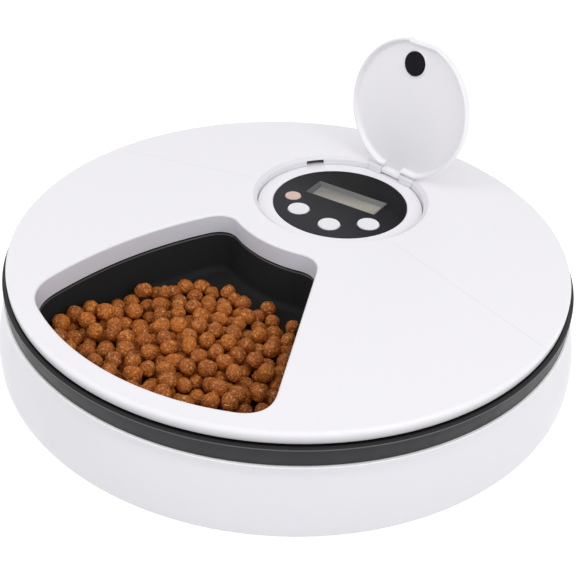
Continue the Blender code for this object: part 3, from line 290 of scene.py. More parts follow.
def makePiece(name, parts, choices, body, stands, sharp=30.0, marks=None):
    # joins the parts into one mesh; marks gives each part's place in the list of materials
    offset, faces, faceMarks = 0, [], []
    for index, (points, arrays) in enumerate(parts):
        for array in arrays:
            rows = (np.asarray(array) + offset).tolist()
            faces += rows
            faceMarks += [marks[index] if marks else 0] * len(rows)
        offset += len(points)
    mesh = bpy.data.meshes.new(name)
    mesh.from_pydata(np.concatenate([points for points, _ in parts]), [], faces)
    mesh.polygons.foreach_set("material_index", np.array(faceMarks, np.int32))
    mergedPoints(mesh)
    return dressed(name, mesh, choices, body, stands, sharp)


def smoothNode(name, node, material, body, sharp=40.0):
    # a merged, smooth copy of a small CAD node
    mesh = nodes[node].data.copy()
    mesh.name = name
    mergedPoints(mesh, flatten=True)
    mesh.materials.clear()
    return dressed(name, mesh, [material], body, [node], sharp)


# Materials: each is a Principled shader with grain, mottle and bump that read Object coordinates


def newMaterial(name):
    # a material with its node tree, its shader and the Object coordinates
    material = bpy.data.materials.new(name)
    material.use_nodes = True
    tree = material.node_tree
    shader = tree.nodes["Principled BSDF"]
    coords = tree.nodes.new("ShaderNodeTexCoord")
    return material, tree, shader, coords.outputs["Object"]


def noise(tree, vector, scale, detail=3.0, roughness=0.55, output="Fac"):
    # Noise texture at a scale per metre
    node = tree.nodes.new("ShaderNodeTexNoise")
    node.inputs["Scale"].default_value = scale
    node.inputs["Detail"].default_value = detail
    node.inputs["Roughness"].default_value = roughness
    tree.links.new(vector, node.inputs["Vector"])
    return node.outputs[output]


def ranged(tree, value, low, high, fromLow=0.3, fromHigh=0.7):
    # low at fromLow and high at fromHigh, held level past them
    node = tree.nodes.new("ShaderNodeMapRange")
    node.inputs["From Min"].default_value = fromLow
    node.inputs["From Max"].default_value = fromHigh
    node.inputs["To Min"].default_value = low
    node.inputs["To Max"].default_value = high
    tree.links.new(value, node.inputs["Value"])
    return node.outputs["Result"]


def mixed(tree, factor, first, second):
    # from the first colour at a factor of 0 to the second at 1
    node = tree.nodes.new("ShaderNodeMix")
    node.data_type = "RGBA"
    tree.links.new(factor, node.inputs["Factor"])
    sockets = [s for s in node.inputs if s.type == "RGBA"]
    for value, socket in zip((first, second), sockets):
        if isinstance(value, tuple):
            socket.default_value = (*value, 1.0)
        else:
            tree.links.new(value, socket)
    return [s for s in node.outputs if s.type == "RGBA"][0]


def math2(tree, operation, first, second=0.0):
    # a sum, product or other operation on one or two values
    node = tree.nodes.new("ShaderNodeMath")
    node.operation = operation
    for value, socket in zip((first, second), node.inputs):
        if isinstance(value, (int, float)):
            socket.default_value = value
        else:
            tree.links.new(value, socket)
    return node.outputs[0]


def bumped(tree, shader, heightValue, strength, distance, previous=None):
    # a bump by the height, laid over a previous one
    node = tree.nodes.new("ShaderNodeBump")
    node.inputs["Strength"].default_value = strength
    node.inputs["Distance"].default_value = distance
    tree.links.new(heightValue, node.inputs["Height"])
    if previous:
        tree.links.new(previous, node.inputs["Normal"])
    tree.links.new(node.outputs["Normal"], shader.inputs["Normal"])
    return node.outputs["Normal"]


def along(tree, place, direction):
    # how far a point lies along a direction
    node = tree.nodes.new("ShaderNodeVectorMath")
    node.operation = "DOT_PRODUCT"
    node.inputs[1].default_value = direction
    tree.links.new(place, node.inputs[0])
    return node.outputs["Value"]


# What the finishes below don't change; scales are per metre, depths in metres
plainFinish = dict(
    mottle=0.97,  # share of the colour that is left in the mottle
    mottleScale=14.0,
    patchScale=60.0,
    patchDetail=4.0,
    grain=0.12,
    grainScale=1800.0,
    grainDetail=2.0,
    grainDepth=0.0001,
    wave=0.03,
    waveDetail=1.0,
    waveScale=35.0,
    waveDepth=0.001,
    coat=0.0,
    coatRoughness=0.1,
    specular=0.5,
    metal=0.0,
)


def plastic(name, settings):
    # moulded plastic: fine grain bump, a slow mottle in the colour and patches of more or less gloss
    material, tree, shader, place = newMaterial(name)
    s = {**plainFinish, **settings}
    colour = s["colour"]
    other = tuple(c * s["mottle"] for c in colour)
    slow = noise(tree, place, s["mottleScale"])
    tree.links.new(mixed(tree, ranged(tree, slow, 0.0, 1.0), colour, other), shader.inputs["Base Color"])
    patches = noise(tree, place, s["patchScale"], s["patchDetail"])
    tree.links.new(ranged(tree, patches, *s["roughness"]), shader.inputs["Roughness"])
    grain = noise(tree, place, s["grainScale"], s["grainDetail"])
    normal = bumped(tree, shader, grain, s["grain"], s["grainDepth"])
    wave = noise(tree, place, s["waveScale"], s["waveDetail"])
    bumped(tree, shader, wave, s["wave"], s["waveDepth"], normal)
    shader.inputs["Coat Weight"].default_value = s["coat"]
    shader.inputs["Coat Roughness"].default_value = s["coatRoughness"]
    shader.inputs["Specular IOR Level"].default_value = s["specular"]
    shader.inputs["Metallic"].default_value = s["metal"]
    return material


white = dict(mottle=0.994, roughness=(0.32, 0.40), grain=0.08, specular=0.45)
dark = dict(mottle=0.85, grain=0.15)
finishes = {
    "cover": dict(white, colour=(0.900, 0.885, 0.925)),
    "ring": dict(white, colour=(0.900, 0.885, 0.925)),
    # painted light: the lid's white is paler than the cover's, for the light its inner face gets
    "lid": dict(white, colour=(0.935, 0.925, 0.960)),
    "base": dict(white, colour=(0.798, 0.790, 0.830), mottle=0.990, roughness=(0.34, 0.44), grain=0.10),
    # painted highlight: the bead is paler than the base, for the light along its top
    "bead": dict(white, colour=(0.980, 0.970, 0.990), grain=0.05),
    # painted shade: the window's wall and the well's wall are the cover's white, made darker
    "windowWall": dict(white, colour=(0.740, 0.750, 0.830), roughness=(0.36, 0.44), specular=0.35),
    "wellWall": dict(white, colour=(0.820, 0.810, 0.850), roughness=(0.34, 0.42)),
    "ear": dict(white, colour=(0.825, 0.815, 0.855), roughness=(0.30, 0.38), specular=0.5),
    "button": dict(colour=(0.84, 0.84, 0.875), roughness=(0.30, 0.38), grain=0.06),
    "setButton": dict(colour=(0.70, 0.50, 0.43), mottle=0.95, roughness=(0.34, 0.42), grain=0.06),
    "band": dict(
        colour=(0.0170, 0.0165, 0.0185),
        mottle=0.90,
        roughness=(0.42, 0.54),
        grain=0.30,
        grainScale=1400.0,
        specular=0.25,
    ),
    # painted highlight: the creases are paler than the band, for the light they catch
    "bandCrease": dict(colour=(0.075, 0.074, 0.078), mottle=0.90, roughness=(0.34, 0.44), grain=0.1),
    # painted shade: near black for the band's top face under the cover's edge and its hidden faces
    "seam": dict(colour=(0.003, 0.003, 0.003), mottle=0.9, roughness=(0.6, 0.7), grain=0.1, specular=0.1),
    "tray": dict(dark, colour=(0.0195, 0.0195, 0.0202), roughness=(0.56, 0.68), specular=0.08),
    # painted highlight: the lip's colour is paler than the tray's; its gloss is real
    "trayLip": dict(dark, colour=(0.030, 0.030, 0.031), roughness=(0.26, 0.34), specular=0.55),
    "pad": dict(colour=(0.006, 0.006, 0.008), mottle=0.9, roughness=(0.55, 0.68), grain=0.2, specular=0.12),
    "rubber": dict(colour=(0.025, 0.025, 0.026), mottle=0.8, roughness=(0.70, 0.85), grain=0.4),
    # painted shade: the slot's dark back
    "slotShade": dict(colour=(0.055, 0.050, 0.070), mottle=0.9, roughness=(0.5, 0.6), grain=0.1),
    "displayFrame": dict(colour=(0.115, 0.114, 0.118), mottle=0.9, roughness=(0.28, 0.36), grain=0.05),
    "glide": dict(colour=(0.70, 0.70, 0.68), mottle=0.95, roughness=(0.30, 0.40), grain=0.08),
    "steel": dict(colour=(0.58, 0.58, 0.60), mottle=0.9, roughness=(0.24, 0.38), grain=0.10, metal=1.0),
    "switch": dict(colour=(0.62, 0.60, 0.56), mottle=0.9, roughness=(0.26, 0.36), grain=0.08, metal=1.0),
    "board": dict(
        colour=(0.012, 0.13, 0.055), mottle=0.75, mottleScale=180.0, roughness=(0.30, 0.42), grain=0.15
    ),
    "cell": dict(colour=(0.06, 0.14, 0.085), mottle=0.85, roughness=(0.28, 0.36), grain=0.05, coat=0.3),
}
materials = {name: plastic("feeder_" + name, settings) for name, settings in finishes.items()}


# painted reflection: the panel's colour is paler towards the left and front and darker towards the right and
# back
panelFinish = {
    "direction": (0.8, 0.6, 0.0),
    "span": (0.034, 0.080),
    "pale": (0.031, 0.0305, 0.036),
    "dark": (0.004, 0.004, 0.005),
    "cloudScale": 40.0,
    "cloud": 0.12,
    "roughness": (0.28, 0.36),
    "grain": 0.04,
    "specular": 0.05,
}


def panelMaterial(s):
    # a smooth dark panel with a painted reflection, darker towards the right and the back
    material, tree, shader, place = newMaterial("feeder_panel")
    share = ranged(tree, along(tree, place, s["direction"]), 0.0, 1.0, *s["span"])
    cloud = ranged(tree, noise(tree, place, s["cloudScale"]), -s["cloud"], s["cloud"])
    shade = mixed(tree, math2(tree, "ADD", share, cloud), s["pale"], s["dark"])
    tree.links.new(shade, shader.inputs["Base Color"])
    patches = noise(tree, place, plainFinish["patchScale"], plainFinish["patchDetail"])
    tree.links.new(ranged(tree, patches, *s["roughness"]), shader.inputs["Roughness"])
    grain = noise(tree, place, plainFinish["grainScale"], plainFinish["grainDetail"])
    bumped(tree, shader, grain, s["grain"], plainFinish["grainDepth"])
    shader.inputs["Specular IOR Level"].default_value = s["specular"]
    return material


displayFinish = {
    "glassColour": (0.75, 0.75, 0.72),
    "glassAlpha": 0.10,
    "glassRoughness": (0.04, 0.12),
    "smearScale": 90.0,
    "pale": (0.320, 0.285, 0.225),
    "dark": (0.110, 0.098, 0.078),
    # painted shadow of the recess: the face darkens towards its upper edge
    "upwards": (0.23, 1.03, 0.0),
    "span": (0.066, 0.078),
    "faceRoughness": (0.32, 0.40),
    "grain": (2500.0, 1.0),
}


def displayGlassMaterial(s):
    # a clear plate over the display: mostly see-through, with a gloss
    material, tree, shader, place = newMaterial("feeder_displayGlass")
    shader.inputs["Base Color"].default_value = (*s["glassColour"], 1.0)
    shader.inputs["Alpha"].default_value = s["glassAlpha"]
    smear = noise(tree, place, s["smearScale"])
    tree.links.new(ranged(tree, smear, *s["glassRoughness"]), shader.inputs["Roughness"])
    return material


def displayFaceMaterial(s):
    # an unlit liquid crystal face: olive beige, with a painted shadow of the recess that darkens it towards
    # its upper edge, and a fine grain in its gloss
    material, tree, shader, place = newMaterial("feeder_displayFace")
    share = ranged(tree, along(tree, place, s["upwards"]), 0.0, 1.0, *s["span"])
    tree.links.new(mixed(tree, share, s["pale"], s["dark"]), shader.inputs["Base Color"])
    fine = noise(tree, place, *s["grain"])
    tree.links.new(ranged(tree, fine, *s["faceRoughness"]), shader.inputs["Roughness"])
    return material


# Noises are scale, detail and roughness; a layer is two shares, the noise's values there, and a colour
kibbleFinish = {
    "browns": ((0.40, 0.099, 0.007), (0.61, 0.168, 0.012)),
    "wobble": (420.0, 4.0, 0.5),
    "wobbleReach": 0.0034,
    "cellScale": 330.0,
    "crust": (300.0, 5.0, 0.65),
    "noises": {"patch": (360.0, 5.0, 0.7), "flake": (640.0, 3.0, 0.6), "glint": (900.0, 2.0, 0.5)},
    "layers": {
        "patch": ((0.0, 1.0, 0.46, 0.68), (0.26, 0.060, 0.010)),
        # pale crumb flakes, partly painted highlight
        "flake": ((0.0, 0.66, 0.54, 0.70), (0.92, 0.45, 0.11)),
        # painted shade in the cracks
        "crack": ((0.42, 0.0, 0.0, 0.12), (0.13, 0.028, 0.005)),
        # painted glints
        "glint": ((0.0, 0.70, 0.60, 0.70), (1.0, 0.58, 0.22)),
    },
    "roughness": (0.36, 0.66),
    "crustBump": (0.9, 0.0016),
    "crackBump": (0.7, 0.0005),
    "crackWidth": 0.25,
    "specular": 0.35,
}


def kibbleMaterial(s):
    # baked food: a warm brown for each ball, dark patches, painted shade in the cracks, pale crumb flakes
    # that are partly painted highlight, painted glints and a coarse crust
    material, tree, shader, place = newMaterial("feeder_kibble")
    shade = tree.nodes.new("ShaderNodeAttribute")
    shade.attribute_name = "shade"
    colour = mixed(tree, shade.outputs["Fac"], *s["browns"])
    warped = tree.nodes.new("ShaderNodeVectorMath")
    warped.operation = "MULTIPLY_ADD"
    tree.links.new(noise(tree, place, *s["wobble"], output="Color"), warped.inputs[0])
    warped.inputs[1].default_value = (s["wobbleReach"],) * 3
    tree.links.new(place, warped.inputs[2])
    cells = tree.nodes.new("ShaderNodeTexVoronoi")
    cells.feature = "DISTANCE_TO_EDGE"
    cells.inputs["Scale"].default_value = s["cellScale"]
    tree.links.new(warped.outputs["Vector"], cells.inputs["Vector"])
    sources = {"crack": cells.outputs["Distance"]}
    for name, settings in s["noises"].items():
        sources[name] = noise(tree, warped.outputs["Vector"] if name == "flake" else place, *settings)
    for name, (share, paint) in s["layers"].items():
        colour = mixed(tree, ranged(tree, sources[name], *share), colour, paint)
    tree.links.new(colour, shader.inputs["Base Color"])
    tree.links.new(ranged(tree, sources["patch"], *s["roughness"]), shader.inputs["Roughness"])
    normal = bumped(tree, shader, noise(tree, place, *s["crust"]), *s["crustBump"])
    crack = ranged(tree, sources["crack"], 0.0, 1.0, 0.0, s["crackWidth"])
    bumped(tree, shader, crack, *s["crackBump"], normal)
    shader.inputs["Specular IOR Level"].default_value = s["specular"]
    return material


materials["panel"] = panelMaterial(panelFinish)
materials["displayGlass"] = displayGlassMaterial(displayFinish)
materials["displayFace"] = displayFaceMaterial(displayFinish)
materials["kibble"] = kibbleMaterial(kibbleFinish)
print("materials made:", len(materials))


# Window outline: the same arcs and lines as the CAD's, with more points

windowShape = {
    "outerRadius": 0.1510,
    "innerRadius": 0.0722,
    "rightBearing": -100.3,
    "innerBearing": -160.8,
    "outerBearing": -155.3,
    "leftBulge": 0.0103,
    "fillet": 0.0150,
    "edgeSteps": 40,
    "cornerSteps": 14,
}


def arcBetween(start, end, middle):
    # the bearing about the middle, and the distance from it, change evenly from start to end
    first, last = start - middle, end - middle
    begin = math.atan2(first[1], first[0])
    sweep = (math.atan2(last[1], last[0]) - begin + math.pi) % math.tau - math.pi
    near, far = np.hypot(*first), np.hypot(*last)
    return lambda t: middle + polar(np.degrees(begin + sweep * t), near + (far - near) * t)


def lineBetween(start, end, bulge=0.0):
    # a straight line, moved sideways by a parabola that is the bulge high in the middle
    side = np.array([start[1] - end[1], end[0] - start[0]])
    side = side / np.hypot(*side)
    return lambda t: start + (end - start) * t[:, None] + side * (4 * bulge * t * (1 - t))[:, None]


def roundedOutline(edges, fillet, edgeSteps, cornerSteps, measureSteps=200):
    # each edge stops a fillet short of its ends, and a quadratic curve turns each corner
    one = np.linspace(0, 1, measureSteps)
    lengths = [np.linalg.norm(np.diff(edge(one), axis=0), axis=1).sum() for edge in edges]
    outline = []
    for k, edge in enumerate(edges):
        following = edges[(k + 1) % len(edges)]
        trim, nextTrim = fillet / lengths[k], fillet / lengths[(k + 1) % len(edges)]
        outline.append(edge(np.linspace(trim, 1 - trim, edgeSteps)))
        start, corner = edge(np.array([1 - trim]))[0], edge(np.array([1.0]))[0]
        end = following(np.array([nextTrim]))[0]
        t = (np.arange(cornerSteps) + 1)[:, None] / (cornerSteps + 1)
        outline.append(start * (1 - t) ** 2 + corner * 2 * t * (1 - t) + end * t**2)
    return np.concatenate(outline)


def makeWindowOutline(s):
    # two radial sides between the cover's outer arc and the arc round the control well
    direction = polar(s["rightBearing"], 1.0)
    half = windowArcMiddle @ direction
    reach = math.sqrt(half**2 - windowArcMiddle @ windowArcMiddle + s["outerRadius"] ** 2) - half
    innerRight = windowArcMiddle + direction * s["innerRadius"]
    outerRight = windowArcMiddle + direction * reach
    outerLeft = polar(s["outerBearing"], s["outerRadius"])
    innerLeft = windowArcMiddle + polar(s["innerBearing"], s["innerRadius"])
    edges = [
        lineBetween(innerRight, outerRight),
        arcBetween(outerRight, outerLeft, axisMiddle),
        lineBetween(outerLeft, innerLeft, s["leftBulge"]),
        arcBetween(innerLeft, innerRight, windowArcMiddle),
    ]
    return roundedOutline(edges, s["fillet"], s["edgeSteps"], s["cornerSteps"])


windowOutline = makeWindowOutline(windowShape)
print("window outline:", len(windowOutline), "points")


# Cover

coverShape = {
    "radius": 0.1623,
    "edgeRound": 0.0020,
    "lipRound": 0.0016,
    "lipSweep": -70,
    "lipDrop": 0.0010,
    "lipInner": 0.1614,
    "skirtOuter": 0.1591,
    "skirtInner": 0.1573,
    "skirtDepth": 0.0048,
    "windowRound": 0.0012,
    "windowFoot": 0.0004,
    "windowWall": 0.0024,
    "wellRadius": 0.0536,
    "wellWall": 0.0028,
    "wellRound": 0.0026,
    "wellBreak": 0.0001,
    "wellBreakDrop": 0.00012,
    "wellColumns": (24, 9, 160),  # before, along and after the slot
    "notchHalf": 0.0082,
    "notchBehind": 0.0031,
    "notchFloor": 0.0519,
    "notchColumns": 9,
    "slotBearing": 107.5,
    "slotWidth": 0.0124,
    "slotTop": 0.0552,
    "slotBottom": 0.0521,
    "slotDepth": 0.0022,
    "blockReach": 0.0058,
    "blockEar": 0.0104,
    "blockLap": 0.0002,
    "support": 0.0006,
    "sharp": 32.0,
}


def coverOuterPart(s):
    # the rim turned about the axis: rounded edge, dropped lip, skirt; then the loops of the two fills
    top, bottom, under = height["coverTop"], height["coverBottom"], height["plateUnder"]
    flat, fillEdge = s["radius"] - s["edgeRound"], s["skirtInner"] - strip
    r, drip, low = s["lipRound"], bottom - s["lipDrop"], bottom - s["skirtDepth"]
    profile = [
        (flat - s["support"], top),
        *arcOf((flat, top - s["edgeRound"]), s["edgeRound"], 90, 0, steps=14),
        *arcOf((s["radius"] - r, drip + r), r, 0, s["lipSweep"], steps=7),
        (s["lipInner"], drip),
        (s["lipInner"], bottom),
        (s["skirtOuter"], bottom),
        (s["skirtOuter"], low + chamfer),
        (s["skirtOuter"] - chamfer, low),
        (s["skirtInner"], low),
        (s["skirtInner"], under),
        (fillEdge, under),
    ]
    return revolve(profile), circle(flat - s["support"]), circle(fillEdge)


def windowEdgePart(s):
    # the window's outline carried down a quarter round, then down, round and up the skirt
    top, low, under = height["coverTop"], height["skirtBottom"], height["plateUnder"]
    r, foot, thick = s["windowRound"], s["windowFoot"], s["windowWall"]
    crown = [(r + s["support"], top), *(roundOver(r, steps=8) * [1, -1] + [0, top])]
    skirt = [crown[-1], (0, low + foot), (foot, low), (thick - chamfer, low), (thick, low + chamfer)]
    skirt += [(thick, under), (thick + strip, under)]
    loops = [offsetOutline(windowOutline, distance) for distance in (crown[0][0], skirt[-1][0])]
    return carried(windowOutline, crown), carried(windowOutline, skirt), *loops


def wellRows(s):
    # (radius, height) down the well's wall: the flat top, the sloped mouth and the slot's edges
    radius, top, b = s["wellRadius"], height["coverTop"], s["wellBreak"]
    mouth = radius + s["wellRound"]
    upper = [(mouth + s["support"], top), (mouth + b, top), (mouth - b, top - s["wellBreakDrop"])]
    lower = [(radius, z) for z in (s["slotTop"], s["slotBottom"], s["notchFloor"], height["wellWallBottom"])]
    return np.array([*upper, (radius + b, s["slotTop"] + b), *lower])


def wellBearings(s, rows):
    # one bearing per row and column, from one side of the hinge's notch round to the other
    half = np.degrees(np.arcsin(s["notchHalf"] / rows[:, :1]))
    slotHalf = math.degrees(s["slotWidth"] / 2 / s["wellRadius"])
    wallHalf = half[-1, 0]
    sides = [s["slotBearing"] - slotHalf, s["slotBearing"] + slotHalf]
    first, last = [(side - hingeBearing - wallHalf) / (360 - 2 * wallHalf) for side in sides]
    before, beside, after = s["wellColumns"]
    share = [np.linspace(0, first, before)[:-1], np.linspace(first, last, beside)[:-1]]
    share = np.concatenate([*share, np.linspace(last, 1, after)])
    return hingeBearing + half + share * (360 - 2 * half)


def hingeSideTurn():
    # X runs from the well's middle to the hinge
    return Matrix.Translation((*controlMiddle, 0)) @ Matrix.Rotation(math.radians(hingeBearing), 4, "Z")


def notchParts(s, rows):
    # floor, back wall and sides of the notch between the hinge's ears, and the wall under its floor
    radius, w, floor, top = s["wellRadius"], s["notchHalf"], s["notchFloor"], height["coverTop"]
    deep = hingeDistance + s["notchBehind"]
    across = np.linspace(w, -w, s["notchColumns"])
    front = np.stack([np.sqrt(radius**2 - across**2), across, np.full(len(across), floor)], -1)
    levels = [front * [1, 1, 0] + [0, 0, z] for z in (floor, height["wellWallBottom"])]
    parts = [
        polygon(np.vstack([front, [[deep, -w, floor], [deep, w, floor]]])),
        polygon([[deep, w, floor], [deep, -w, floor], [deep, -w, top], [deep, w, top]]),
        gridPart(np.stack(levels), closedColumns=False),
    ]
    side = rows[rows[:, 1] >= floor]
    reach = np.sqrt(side[:, 0] ** 2 - w**2)
    for y in (-w, w):
        curve = np.stack([reach, np.full(len(reach), y), side[:, 1]], -1)
        parts.append(polygon(np.vstack([curve, [[deep, y, floor], [deep, y, top]]])))
    turn = hingeSideTurn()
    corners = np.array([[deep, -w, 0], [deep, w, 0]]) @ np.array(turn)[:3, :3].T
    return [placed(part, turn) for part in parts], corners[:, :2] + controlMiddle


def slotParts(mouth, depth):
    # a recess whose sides run back from the mouth, with a back that carries painted shade
    outwards = (mouth - [*controlMiddle, 0]) * [1, 1, 0]
    back = mouth + outwards / np.linalg.norm(outwards, axis=-1, keepdims=True) * depth
    rings = [np.concatenate([g[0], g[1:, -1], g[-1, -2::-1], g[-2:0:-1, 0]]) for g in (mouth, back)]
    return gridPart(np.stack(rings)), gridPart(back, closedColumns=False)


def wellParts(s):
    # a grid of heights and bearings, left open at the slot and joined by the slot, the notch and the foot
    rows = wellRows(s)
    bearings = wellBearings(s, rows)
    plan = controlMiddle + polar(bearings, rows[:, :1])
    points = np.concatenate([plan, np.broadcast_to(rows[:, 1:, None], (*bearings.shape, 1))], -1)
    faces = gridFaces(*bearings.shape, closedColumns=False)
    rowOf, columnOf = np.divmod(faces[:, 0], bearings.shape[1])
    slotRow = np.flatnonzero(rows[:, 1] == s["slotTop"])[0]
    slotStart = s["wellColumns"][0] - 1
    slotEnd = slotStart + s["wellColumns"][1] - 1
    inSlot = (rowOf == slotRow) & (columnOf >= slotStart) & (columnOf < slotEnd)
    mouth = points[slotRow : slotRow + 2, slotStart : slotEnd + 1]
    slotSides, slotBack = slotParts(mouth, s["slotDepth"])
    notch, corners = notchParts(s, rows)
    radius, outer = s["wellRadius"], s["wellRadius"] + s["wellWall"]
    low, under = height["wellWallBottom"], height["plateUnder"]
    across = np.linspace(-s["notchHalf"], s["notchHalf"], s["notchColumns"])[1:-1]
    ring = np.concatenate([bearings[-1], 360 + hingeBearing + np.degrees(np.arcsin(across / radius))])
    foot = [(radius, low), (outer, low), (outer, under), (outer + strip, under)]
    footPart = gridPart(np.stack([atHeight(controlMiddle + polar(ring, r), z) for r, z in foot]))
    grid = points.reshape(-1, 3)
    wellWall = (grid, [faces[(rowOf >= 1) & ~inSlot]])
    parts = [(grid, [faces[rowOf < 1]]), slotSides, *notch, footPart]
    topLoop = np.vstack([points[0, :, :2], corners])
    return parts, wellWall, slotBack, topLoop, controlMiddle + polar(ring, outer + strip)


def hingeBlockParts(s):
    # the thick wall behind the notch, under the plate
    deep, wide = hingeDistance + s["blockReach"], s["notchHalf"] + s["blockEar"]
    low, high = height["wellWallBottom"], height["plateUnder"]
    start = math.sqrt((s["wellRadius"] + s["wellWall"]) ** 2 - wide**2) - s["blockLap"]
    outline = np.array([[start, -wide], [deep, -wide], [deep, wide], [start, wide]])
    return [placed(part, hingeSideTurn()) for part in (wall(outline, (low, high)), flatFill([outline], low))]


def makeCover(s):
    # the slot's back, the window's wall and the well's wall have finishes of their own, all painted shade: a
    # dark back, and walls darker than the cover's white
    outer, outerTop, outerUnder = coverOuterPart(s)
    window, windowWall, windowTop, windowUnder = windowEdgePart(s)
    well, wellWall, slotBack, wellTop, wellUnder = wellParts(s)
    topFill = flatFill([outerTop, windowTop, wellTop], height["coverTop"])
    underFill = flatFill([outerUnder, windowUnder, wellUnder], height["plateUnder"])
    plain = [outer, window, *well, *hingeBlockParts(s), topFill, underFill]
    choices = [materials[name] for name in ("slotShade", "windowWall", "wellWall")]
    parts, marks = [*plain, slotBack, windowWall, wellWall], [0] * len(plain) + [1, 2, 3]
    choices.insert(0, coverMaterial(seamShape))
    makePiece("coverShell", parts, choices, "cover", ["top_cover"], s["sharp"], marks)


# Each seam is the line at its offset from the cover's middle; it runs along its direction from its start
seamShape = {
    "seams": [
        {"direction": (0.5986, -0.801), "offset": -0.04772, "start": 0.036},
        {"direction": (-0.9464, 0.3229), "offset": 0.0591, "start": 0.045},
    ],
    "width": 0.00026,
    "coreShare": 0.3,
    "fadeIn": 0.004,
    "shade": 0.30,
    "colour": (0.50, 0.49, 0.53),
    # painted shade: the cover's edge darkens from the upper height down to the lower one
    "shadeHeights": (0.0502, 0.0556),
    "lowColour": (0.50, 0.49, 0.51),
}


def coverMaterial(s):
    # the cover's plastic with two hairline seams that run out from the well to the cover's edge,
    # and painted shade that darkens the edge downwards
    material = materials["cover"]
    tree = material.node_tree
    shader = tree.nodes["Principled BSDF"]
    place = tree.nodes["Texture Coordinate"].outputs["Object"]
    mark = 0.0
    for seam in s["seams"]:
        x, y = seam["direction"]
        away = math2(tree, "SUBTRACT", along(tree, place, (y, -x, 0.0)), seam["offset"])
        away = math2(tree, "ABSOLUTE", away)
        line = ranged(tree, away, s["shade"], 0.0, s["coreShare"] * s["width"], s["width"])
        run = along(tree, place, (x, y, 0.0))
        begun = ranged(tree, run, 0.0, 1.0, seam["start"], seam["start"] + s["fadeIn"])
        mark = math2(tree, "ADD", math2(tree, "MULTIPLY", line, begun), mark)
    plain = shader.inputs["Base Color"].links[0].from_socket
    marked = mixed(tree, mark, plain, s["colour"])
    # painted shade, darker towards the bottom of the edge
    low = ranged(tree, along(tree, place, (0.0, 0.0, 1.0)), 1.0, 0.0, *s["shadeHeights"])
    tree.links.new(mixed(tree, low, marked, s["lowColour"]), shader.inputs["Base Color"])
    return material


makeCover(coverShape)
print("cover made")


# Hinge ears beside the flip lid's tongue

earShape = {"start": 0.0082, "width": 0.0104, "radius": 0.0030, "round": 0.0005}


def hingeFrame():
    # local X along the hinge, Y from the hinge to the middle of the closed lid, Z up
    place = Matrix.Translation((*hingeMiddle, height["hinge"]))
    return place @ Matrix.Rotation(math.radians(hingeBearing + 90), 4, "Z")


def makeEars(s):
    # a foot with a half round top, carried along the hinge, with its two ends rounded off
    foot, r = height["ringTop"] + gap - height["hinge"], s["radius"]
    outline = np.vstack([[(-r, foot)], [(r, foot)], arcOf((0.0, 0.0), r, 0, 180, steps=18)])
    ends = roundOver(s["round"], steps=4)[:, ::-1]
    sides = [(x, x + math.copysign(s["width"], x)) for x in (-s["start"], s["start"])]
    parts = [placed(extruded(outline[::-1], start, end, ends), hingeFrame()) for start, end in sides]
    makePiece("hingeEars", parts, [materials["ear"]], "cover", ())


makeEars(earShape)
print("hinge ears made")


# Band and base

bandShape = {
    "radius": 0.1650,
    "inner": 0.1594,
    "bevel": 0.0004,
    "lowerShare": 0.3,  # places of the bevels' points, as shares of the bevel
    "upperShares": (0.5, 0.35),
    "crownShare": 1.6,
    "crease": 0.00022,
    "step": 0.0016,
    "shade": 0.1627,
    "tongue": 0.0034,
    "wall": 0.1613,
}


def makeBand(s):
    # the two creases of the outer face have a painted highlight, and the top face under the cover's edge,
    # with the hidden faces, has painted shade
    bottom, top, step = height["bandBottom"], height["bandTop"], height["stepTop"]
    b, r, under, foot = s["bevel"], s["radius"], s["inner"] + s["step"], bottom - s["tongue"]
    lowest, highest = (r - b, bottom), (r - s["crownShare"] * b, top)
    lower = [(r - s["lowerShare"] * b, bottom + s["lowerShare"] * b), (r, bottom + b)]
    upper = [(r, top - b), (r - s["upperShares"][0] * b, top - s["upperShares"][1] * b)]
    crease = (r, top - b - s["crease"])
    hidden = [(s["shade"], top), (under, top), (under, step), (s["inner"], step), (s["inner"], foot)]
    hidden += [(s["wall"], foot), (s["wall"], bottom), lowest]
    # painted shade on the hidden faces and the top face under the cover's edge; painted highlight on the
    # creases
    runs = [
        ("seam", hidden),
        ("band", [lowest, lower[0]]),
        ("bandCrease", lower),
        ("band", [lower[1], crease]),
        ("bandCrease", [crease, upper[0]]),
        ("bandCrease", upper),
        ("band", [upper[1], highest, (s["shade"], top)]),
    ]
    finish = ["band", "seam", "bandCrease"]
    parts, marks = [revolve(run) for _, run in runs], [finish.index(name) for name, _ in runs]
    choices = [materials[name] for name in finish]
    makePiece("darkBand", parts, choices, "base", ["rim_band"], marks=marks)


makeBand(bandShape)

baseShape = {
    "topRadius": 0.1640,
    "flareRadius": 0.1730,
    "wall": 0.0024,
    "round": 0.0012,
    "roundTurn": (-90, -8),
    "rimBottom": 0.0003,
    "rimWidth": 0.0018,
    "shelfRadius": 0.1540,
    "beadRadius": 0.1660,
    "beadRound": 0.0003,
    "beadTurn": (20, 90),
    "beadLand": 0.0004,
    "floorLap": 0.0008,
    "heightShares": (0.15, 0.40, 0.65, 0.85),
    "flareShares": (0.98, 0.80, 0.48, 0.20),
    "feet": 4,
    "footBearing": 45,
    "footRadius": 0.0093,
    "footDepth": 0.0012,
    "footCircle": 0.1480,
    "footSteps": 40,
    "screws": 3,
    "screwCircle": 0.0155,
    "screwBearing": 20.0,
    "screwSteps": 24,
    "headRadius": 0.0027,
    "holeRadius": 0.0014,
    "headTop": 0.0036,
    "bayDistance": 0.0850,
    "bayWall": 0.0012,
    "bayRoof": 0.0145,
    "doorTravel": 0.0120,
    "doorRoof": 0.0037,
}


def recess(outline, low, high):
    # upright sides with a flat roof
    return [wall(outline, (low, high)), flatFill([outline], high)]


